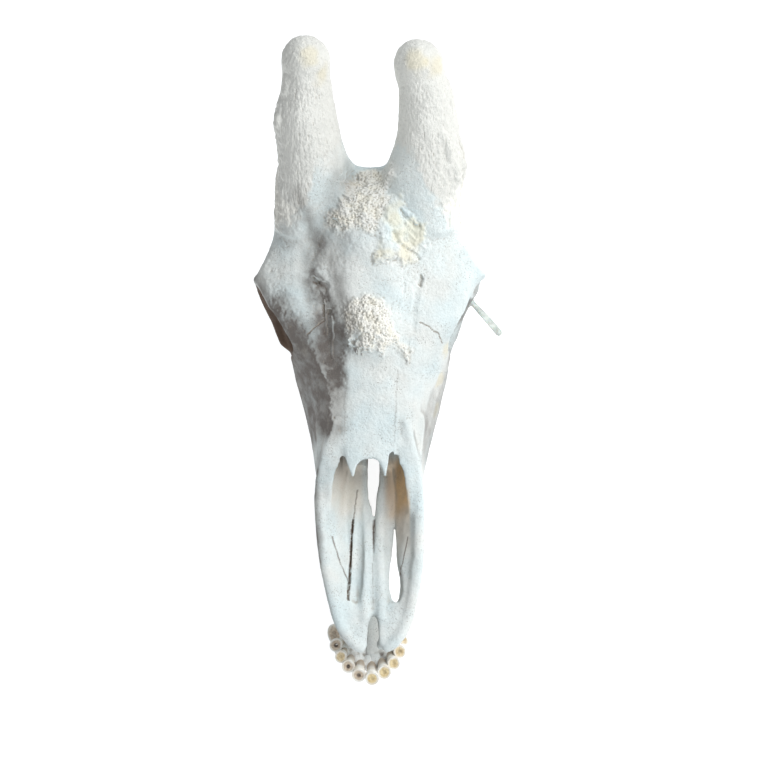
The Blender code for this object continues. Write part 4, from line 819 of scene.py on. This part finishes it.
def bone_material(name, cool, warm, crusty, grain):
    """Bleached bone with cool and warm patches, a colour for its crusts and a strength for its grain."""
    material = bpy.data.materials.new(name)
    material.use_nodes = True
    tree = material.node_tree
    shader = tree.nodes["Principled BSDF"]
    spot = add_node(tree, "TexCoord", {}).outputs["Object"]

    def noise(scale, detail, rough=0.55):
        return add_node(tree, "TexNoise", {"Vector": spot, "Scale": scale, "Detail": detail,
                                           "Roughness": rough}).outputs["Fac"]

    def mark(layer):
        return add_node(tree, "Attribute", {}, attribute_name=layer).outputs["Fac"]

    colour = blend(tree, stretch(tree, noise(14.0, 3.0), 0.38, 0.62), cool, warm)
    colour = blend(tree, stretch(tree, noise(420.0, 3.0, 0.7), 0.35, 0.65, 0.0, 0.30), colour, (0.70, 0.71, 0.69, 1.0),
                   "MULTIPLY")
    colour = blend(tree, stretch(tree, noise(32.0, 6.0, 0.65), 0.35, 0.62, 0.0, 0.24), colour, (0.62, 0.64, 0.65, 1.0),
                   "MULTIPLY")
    pits = add_node(tree, "TexVoronoi", {"Vector": spot, "Scale": 380.0, "Randomness": 1.0}).outputs["Distance"]
    pitted = add_node(tree, "Math", {0: stretch(tree, pits, 0.14, 0.30, 1.0, 0.0),
                                     1: stretch(tree, noise(38.0, 3.0), 0.44, 0.58)}, operation="MULTIPLY").outputs[0]
    colour = blend(tree, stretch(tree, pitted, 0.0, 1.0, 0.0, 0.62), colour, (0.36, 0.34, 0.30, 1.0))
    colour = blend(tree, mark("crust"), colour, crusty)
    colour = blend(tree, stretch(tree, mark("cream"), 0.0, 1.0, 0.0, 0.8), colour, (0.74, 0.66, 0.44, 1.0))
    # Amber, partly painted light shining through the thin nose wall.
    colour = blend(tree, stretch(tree, mark("amber_and_painted_backlight"), 0.0, 1.0, 0.0, 0.96), colour, (1.0, 0.61, 0.26, 1.0))
    # Grime and painted shade, in patches.
    patchy = stretch(tree, noise(70.0, 5.0, 0.6), 0.35, 0.65, 0.80, 1.10)
    grime_and_shade_share = add_node(tree, "Math", {0: mark("grime_and_painted_shade"), 1: patchy}, operation="MULTIPLY").outputs[0]
    colour = blend(tree, grime_and_shade_share, colour, (0.155, 0.138, 0.125, 1.0))
    # Painted shade in the hollows.
    colour = blend(tree, stretch(tree, mark("hollow"), 0.0, 1.0, 0.0, 0.80), colour, (0.36, 0.32, 0.26, 1.0))
    # Brown: stains in seams and cracks, painted shade in pits, slits, eye sockets and between the front teeth.
    colour = blend(tree, stretch(tree, mark("brown_and_painted_shade"), 0.0, 1.0, 0.0, 0.96), colour, (0.105, 0.062, 0.038, 1.0))
    tree.links.new(colour, shader.inputs["Base Color"])
    shader.inputs["Roughness"].default_value = 0.68
    shader.inputs["Specular IOR Level"].default_value = 0.35
    fine_grain = add_node(tree, "Bump", {"Height": noise(520.0, 4.0, 0.65), "Strength": grain, "Distance": 0.0016})
    coarse = add_node(tree, "Bump", {"Height": noise(230.0, 3.0, 0.6), "Strength": grain, "Distance": 0.0026,
                                     "Normal": fine_grain.outputs["Normal"]})
    holes = add_node(tree, "Bump", {"Height": pitted, "Strength": 0.6, "Distance": 0.0008,
                                    "Normal": coarse.outputs["Normal"]}, invert=True)
    tree.links.new(holes.outputs["Normal"], shader.inputs["Normal"])
    return material


def lighten(piece):
    """Takes out the triangles that a smooth piece doesn't need."""
    step = piece.modifiers.new("lighter", "DECIMATE")
    step.ratio = LIGHTER_SHARE
    apply_all(piece)


def hand_over(piece, name, material, node):
    """Gives a finished piece its material and name, hangs it on the root body and hides the solid that it dresses."""
    piece.data.materials.clear()
    piece.data.materials.append(material)
    piece.name = piece.data.name = name + "_shape"
    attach(piece, "root")
    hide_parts(node)


DRY_BONE = bone_material("dry_bone", (0.715, 0.805, 0.815, 1.0), (0.79, 0.81, 0.785, 1.0),
                         (0.81, 0.80, 0.745, 1.0), 0.45)
HORN_BONE = bone_material("horn_bone", (0.73, 0.80, 0.80, 1.0), (0.79, 0.805, 0.775, 1.0),
                          (0.735, 0.735, 0.695, 1.0), 0.5)
JAW_BONE = bone_material("jaw_bone", (0.725, 0.805, 0.81, 1.0), (0.78, 0.79, 0.76, 1.0),
                         (0.8, 0.78, 0.70, 1.0), 0.35)
LIGHTER_SHARE = 0.55
whole_tints = tints_of(whole)
spots = KDTree(len(whole.data.vertices))
for number, spot in enumerate(points_of(whole)):
    spots.insert(spot, number)
spots.balance()
known = {spot.tobytes(): number for number, spot in enumerate(points_of(whole).astype(np.float32))}
for name, piece in pieces.items():
    take_over(piece, whole, known, spots, whole_tints)
    if name == "cranium_base":
        lighten(piece)
    if name.startswith("ossicone"):
        hand_over(piece, name, HORN_BONE, name)
    elif name.startswith("maxilla"):
        hand_over(piece, name, JAW_BONE, name)
    else:
        hand_over(piece, name, DRY_BONE, "cranium" if name.startswith("cranium") else name)
bpy.data.objects.remove(whole)

# The lower jaw: two halves of dense bone that meet in a rough, porous joint at the chin. The bodies come first; their
# teeth are made one by one further down and stand in their sockets.
JAW_VOXEL = 0.0015
LOWER_TEETH_ROOM = [(0.185, 0.0768), (0.260, 0.0875), (0.352, 0.0945), (0.352, 0.16), (0.185, 0.16)]
FRONT_TEETH_ROOM = [(-0.2, 0.0525), (0.055, 0.0525), (0.055, 0.12), (-0.2, 0.12)]
# A brighter copy of the bone: painted light on the lower jaw, which lies in shade under the face.
BRIGHTENED_JAW_BONE = bone_material("jaw_bone_with_painted_light", (0.93, 0.96, 0.955, 1.0), (0.96, 0.96, 0.93, 1.0),
                          (0.8, 0.78, 0.70, 1.0), 0.5)
for side, sign in (("left", 1.0), ("right", -1.0)):
    name = "mandible_" + side
    body = bone_copy(name, name, 0.0)
    carve(body, [block("teeth", LOWER_TEETH_ROOM, -0.1, 0.1, True),
                 block("pegs", FRONT_TEETH_ROOM, -0.1, 0.1, True)], "DIFFERENCE")
    carve(body, [bead((sign * 0.0065, -0.0060, 0.0455), 0.0080, (1.0, 1.3, 0.9)),
                 bead((sign * 0.0160, -0.0030, 0.0455), 0.0070, (1.0, 1.1, 0.9)),
                 bead((sign * 0.0240, 0.0040, 0.0455), 0.0070, (1.0, 1.1, 0.9))], "UNION")
    remesh(body, JAW_VOXEL)
    relax(body, 14)
    for layer, values in tints_of(body).items():
        tag(body, layer, values)
    shade(body)
    lighten(body)
    hand_over(body, name, BRIGHTENED_JAW_BONE, name)


# The cheek teeth. Each is a column of enamel round dentine, worn to a flat face with a crescent-shaped dip in each of
# its lobes, and stands in its socket in the jaw. One lobe is modelled, and copies of it make up the teeth.
def pick_faces(obj, test):
    """Goes into edit mode with those faces selected whose centre passes a test."""
    pick(obj)
    bpy.ops.object.mode_set(mode="EDIT")
    bpy.ops.mesh.select_mode(type="FACE")
    bpy.ops.mesh.select_all(action="DESELECT")
    bpy.ops.object.mode_set(mode="OBJECT")
    for face in obj.data.polygons:
        face.select = test(face.center)
    bpy.ops.object.mode_set(mode="EDIT")


def model_column(name, vertices, insets, rings):
    """A round column on the floor, 1 high and 1 across, whose top is let in ring by ring: (inset, depth)."""
    bpy.ops.object.select_all(action="DESELECT")
    bpy.ops.mesh.primitive_cylinder_add(vertices=vertices, radius=0.5, depth=1.0, location=(0.0, 0.0, 0.0))
    column = bpy.context.object
    column.name = name
    bpy.ops.object.mode_set(mode="EDIT")
    bpy.ops.mesh.select_all(action="SELECT")
    bpy.ops.transform.translate(value=(0.0, 0.0, 0.5))
    bpy.ops.object.mode_set(mode="OBJECT")
    corners = column.data.vertices
    wall_edges = [edge.index for edge in column.data.edges
                  if abs(corners[edge.vertices[0]].co.z - corners[edge.vertices[1]].co.z) > 0.5]
    pick(column)
    bpy.ops.object.mode_set(mode="EDIT")
    bpy.ops.mesh.select_mode(type="EDGE")
    bpy.ops.mesh.select_all(action="DESELECT")
    bpy.ops.object.mode_set(mode="OBJECT")
    for index in wall_edges:
        column.data.edges[index].select = True
    bpy.ops.object.mode_set(mode="EDIT")
    bpy.ops.mesh.subdivide(number_cuts=rings)
    bpy.ops.object.mode_set(mode="OBJECT")
    pick_faces(column, lambda centre: centre.z > 0.999)
    for inset, depth in insets:
        bpy.ops.mesh.inset(thickness=inset, depth=0.0)
        bpy.ops.transform.translate(value=(0.0, 0.0, -depth))
    bpy.ops.object.mode_set(mode="OBJECT")
    return column


lobe = model_column("lobe", 32, [(0.05, 0.0), (0.03, 0.02), (0.12, 0.03), (0.05, 0.10), (0.06, 0.06)], 5)
lobe_points = points_of(lobe)
radius = np.hypot(lobe_points[:, 0], lobe_points[:, 1])
tag(lobe, "wear", np.where(lobe_points[:, 2] > 0.999, 0.3, ramp(0.46 - radius, 0.0, 0.05)))
tag(lobe, "hole", ramp(0.30 - radius, 0.0, 0.1))


def joined(copies, name):
    """Makes one object of several."""
    pick(*copies)
    bpy.ops.object.join()
    copies[0].name = name
    return copies[0]


def cheek_tooth(length, width, height, lobes, place):
    """Copies of the lobe, side by side, set in their place."""
    copies = []
    for number in range(lobes):
        copy = new_object("lobe_copy", lobe.data.copy())
        co = points_of(copy)
        share = co[:, 2]
        size = np.interp(share, [0.0, 0.55, 1.0], [0.80, 1.0, 0.90])
        angle = np.arctan2(co[:, 1], co[:, 0])
        ribs = 1.0 + 0.05 * np.cos(3.0 * angle + 0.6 * number)
        co[:, 0] *= width * 1.02 * size * ribs
        co[:, 1] = length * ((number + 0.5) / lobes - 0.5) + co[:, 1] * 1.12 * length / lobes * 1.02 * size * ribs
        co[:, 2] = np.where(share > 0.7, height - (1.0 - share) * 0.010, share * height)
        put_points(copy, co)
        copy.data.transform(place)
        copies.append(copy)
    return copies


def tooth_material():
    material = bpy.data.materials.new("worn_tooth")
    material.use_nodes = True
    tree = material.node_tree
    shader = tree.nodes["Principled BSDF"]
    spot = add_node(tree, "TexCoord", {}).outputs["Object"]
    fine = add_node(tree, "TexNoise", {"Vector": spot, "Scale": 350.0, "Detail": 3.0}).outputs["Fac"]
    wide = add_node(tree, "TexNoise", {"Vector": spot, "Scale": 120.0, "Detail": 2.0}).outputs["Fac"]
    marks = {layer: add_node(tree, "Attribute", {}, attribute_name=layer).outputs["Fac"]
             for layer in ("wear", "hole", "neck", "grey")}
    enamel = blend(tree, stretch(tree, wide, 0.4, 0.6), (0.84, 0.83, 0.78, 1.0), (0.76, 0.71, 0.62, 1.0))
    dentine = blend(tree, stretch(tree, fine, 0.35, 0.65), (0.58, 0.44, 0.22, 1.0), (0.80, 0.66, 0.38, 1.0))
    greyed = blend(tree, stretch(tree, fine, 0.35, 0.65), (0.40, 0.31, 0.24, 1.0), (0.66, 0.56, 0.45, 1.0))
    dentine = blend(tree, marks["grey"], dentine, greyed)
    colour = blend(tree, stretch(tree, marks["neck"], 0.0, 1.0, 0.0, 0.75), enamel, (0.33, 0.24, 0.16, 1.0))
    colour = blend(tree, marks["wear"], colour, dentine)
    colour = blend(tree, marks["hole"], colour, (0.035, 0.022, 0.015, 1.0))
    tree.links.new(colour, shader.inputs["Base Color"])
    shader.inputs["Roughness"].default_value = 0.42
    bump = add_node(tree, "Bump", {"Height": fine, "Strength": 0.25, "Distance": 0.0008})
    tree.links.new(bump.outputs["Normal"], shader.inputs["Normal"])
    return material


WORN_TOOTH = tooth_material()
UPPER_TEETH = [(0.019, 0.018, 1), (0.023, 0.022, 1), (0.024, 0.024, 1), (0.028, 0.026, 2), (0.030, 0.027, 2),
               (0.029, 0.025, 2)]
LOWER_TEETH = [(0.017, 0.012, 1), (0.023, 0.015, 1), (0.024, 0.017, 1), (0.026, 0.019, 2), (0.029, 0.020, 2),
               (0.035, 0.019, 3)]
JAW_TURN = (Matrix.Translation(Vector((-0.0016, 0.0, -0.0012)))
            @ Matrix.Translation(Vector((0.0, 0.50, 0.0))) @ Matrix.Rotation(math.radians(-0.9), 4, "Z")
            @ Matrix.Translation(Vector((0.0, -0.50, 0.0))))
slope = Matrix.Rotation(math.atan(0.045), 4, "X")
for side, sign in (("left", 1.0), ("right", -1.0)):
    for upper, sizes, start in ((True, UPPER_TEETH, 0.192), (False, LOWER_TEETH, 0.196)):
        row = []
        y = start
        for length, width, lobes in sizes:
            middle = y + length / 2
            bite = 0.0975 + 0.045 * (middle - 0.192)
            if upper:
                root = np.interp(max(middle, 0.19), [0.15, 0.18, 0.25, 0.34, 0.38],
                                 [0.104, 0.107, 0.114, 0.120, 0.140]) + 0.006
                x = sign * np.interp(middle, [0.19, 0.27, 0.35], [0.052, 0.0575, 0.0565])
                x += np.interp(middle, [0.17, 0.22, 0.27, 0.35], [-0.0015, 0.0, 0.003, 0.0035])
                turn = Matrix.Rotation(math.pi, 4, "Y")
            else:
                root = np.interp(middle, [0.155, 0.19, 0.26, 0.36], [0.058, 0.077, 0.086, 0.094]) - 0.010
                x = sign * np.interp(middle, [0.19, 0.27, 0.35], [0.0405, 0.0475, 0.053])
                turn = Matrix.Identity(4)
            place = Matrix.Translation(Vector((x, middle, root))) @ slope @ turn
            if not upper:
                place = JAW_TURN @ place
            place = Matrix.Translation(TIP) @ place
            row += cheek_tooth(length * 0.97, width, abs(root - bite) - 0.0006, lobes, place)
            y += length
        name = ("upper_teeth_" if upper else "lower_teeth_") + side
        teeth = joined(row, name)
        shade(teeth)
        hand_over(teeth, name, WORN_TOOTH, ("maxilla_" if upper else "mandible_") + side)
bpy.data.objects.remove(lobe)

# The front teeth: four incisors and two lobes of the canine in each half jaw, worn down to pegs that widen upwards.
# Each has a white rim of enamel, a brown dish of dentine and, where it is worn far down, a dark hole.
peg = model_column("peg", 40, [(0.035, -0.01), (0.03, 0.02), (0.03, 0.03), (0.10, 0.02), (0.10, 0.01), (0.05, 0.05),
                               (0.04, 0.10)], 9)
peg_points = points_of(peg)
radius = np.hypot(peg_points[:, 0], peg_points[:, 1])
# For each: the middle of its worn face, half its width and depth, where its neck stands, and how far down it is worn.
FRONT_TEETH = {
    "left": [(0.0081, -0.0298, 0.0680, 0.0078, 0.0080, 0.0070, -0.006, 0.2),
             (0.0231, -0.0224, 0.0680, 0.0076, 0.0078, 0.0190, -0.002, 0.3),
             (0.0345, -0.0112, 0.0675, 0.0070, 0.0072, 0.0290, 0.006, 0.2),
             (0.0420, 0.0033, 0.0665, 0.0070, 0.0073, 0.0350, 0.016, 0.4),
             (0.0450, 0.0195, 0.0650, 0.0050, 0.0090, 0.0370, 0.026, 0.3)],
    "right": [(0.0082, -0.0261, 0.0680, 0.0078, 0.0078, 0.0065, -0.004, 0.9),
              (0.0212, -0.0153, 0.0680, 0.0074, 0.0074, 0.0180, 0.002, 1.0),
              (0.0304, -0.0031, 0.0675, 0.0068, 0.0070, 0.0265, 0.010, 0.2),
              (0.0365, 0.0115, 0.0665, 0.0074, 0.0078, 0.0310, 0.020, 0.9),
              (0.0385, 0.0250, 0.0655, 0.0125, 0.0083, 0.0285, 0.0280, 0.3)],
}
for side, sign in (("left", 1.0), ("right", -1.0)):
    row = []
    for number, (x, y, z, across, deep, neck_x, neck_y, worn) in enumerate(FRONT_TEETH[side]):
        face_point = Vector((sign * x, y, z))
        neck_point = Vector((sign * neck_x, neck_y, 0.046))
        rise = face_point - neck_point
        tilt = (rise + Vector((0.0, 0.0, 0.010))).normalized()
        across_way = Vector((0.0, 0.0, 1.0)).cross(tilt).normalized()
        deep_way = tilt.cross(across_way)
        copy = new_object("peg_copy", peg.data.copy())
        co = points_of(copy)
        share = co[:, 2]
        size = np.interp(np.clip(share, 0.0, 1.0), [0.0, 0.45, 0.70, 0.88, 1.0], [0.74, 0.74, 0.92, 1.10, 1.06])
        top = (radius < 0.499) & (share > 0.5)
        size[top] = 1.06
        up = np.where(top, (share - 1.0) * 0.009 * (0.3 + 0.7 * worn), 0.0)
        spot = (np.array(neck_point) + np.outer(np.where(top, 1.0, np.clip(share, 0.0, 1.0)), np.array(rise))
                + np.outer(up, np.array(tilt))
                + np.outer(co[:, 0] * 2.0 * across * size, np.array(across_way))
                + np.outer(co[:, 1] * 2.0 * deep * size, np.array(deep_way)))
        put_points(copy, spot)
        edge = radius + 0.03 * speckle(co, 0.2, 90 + number)
        tag(copy, "wear", ramp(0.43 - edge, 0.0, 0.08) * (share > 0.5))
        tag(copy, "hole", ramp(0.17 - edge, -0.04, 0.08) * (share > 0.5) * worn)
        tag(copy, "neck", ramp(0.8 - share, 0.0, 0.5))
        tag(copy, "grey", np.full(len(co), (0.9 if number != 2 else 0.3) if side == "right" else 0.1 * number))
        copy.data.transform(Matrix.Translation(TIP) @ JAW_TURN)
        row.append(copy)
    name = "front_teeth_" + side
    teeth = joined(row, name)
    shade(teeth)
    hand_over(teeth, name, WORN_TOOTH, "mandible_" + side)
bpy.data.objects.remove(peg)


# The jaw tie: a nylon tie drawn tight round the left cheek arch, its tail sticking out forwards.
def nylon_material():
    material = bpy.data.materials.new("clear_nylon")
    material.use_nodes = True
    tree = material.node_tree
    shader = tree.nodes["Principled BSDF"]
    spot = add_node(tree, "TexCoord", {}).outputs["Object"]
    cloud = add_node(tree, "TexNoise", {"Vector": spot, "Scale": 160.0, "Detail": 2.0}).outputs["Fac"]
    colour = blend(tree, stretch(tree, cloud, 0.4, 0.6), (0.74, 0.80, 0.76, 1.0), (0.55, 0.61, 0.57, 1.0))
    tree.links.new(colour, shader.inputs["Base Color"])
    shader.inputs["Roughness"].default_value = 0.32
    shader.inputs["Transmission Weight"].default_value = 0.35
    shader.inputs["Subsurface Weight"].default_value = 0.1
    return material


tie = bone_copy("jaw_tie", "tie", 0.0)
shade(tie)
hand_over(tie, "tie", nylon_material(), "jaw_tie")
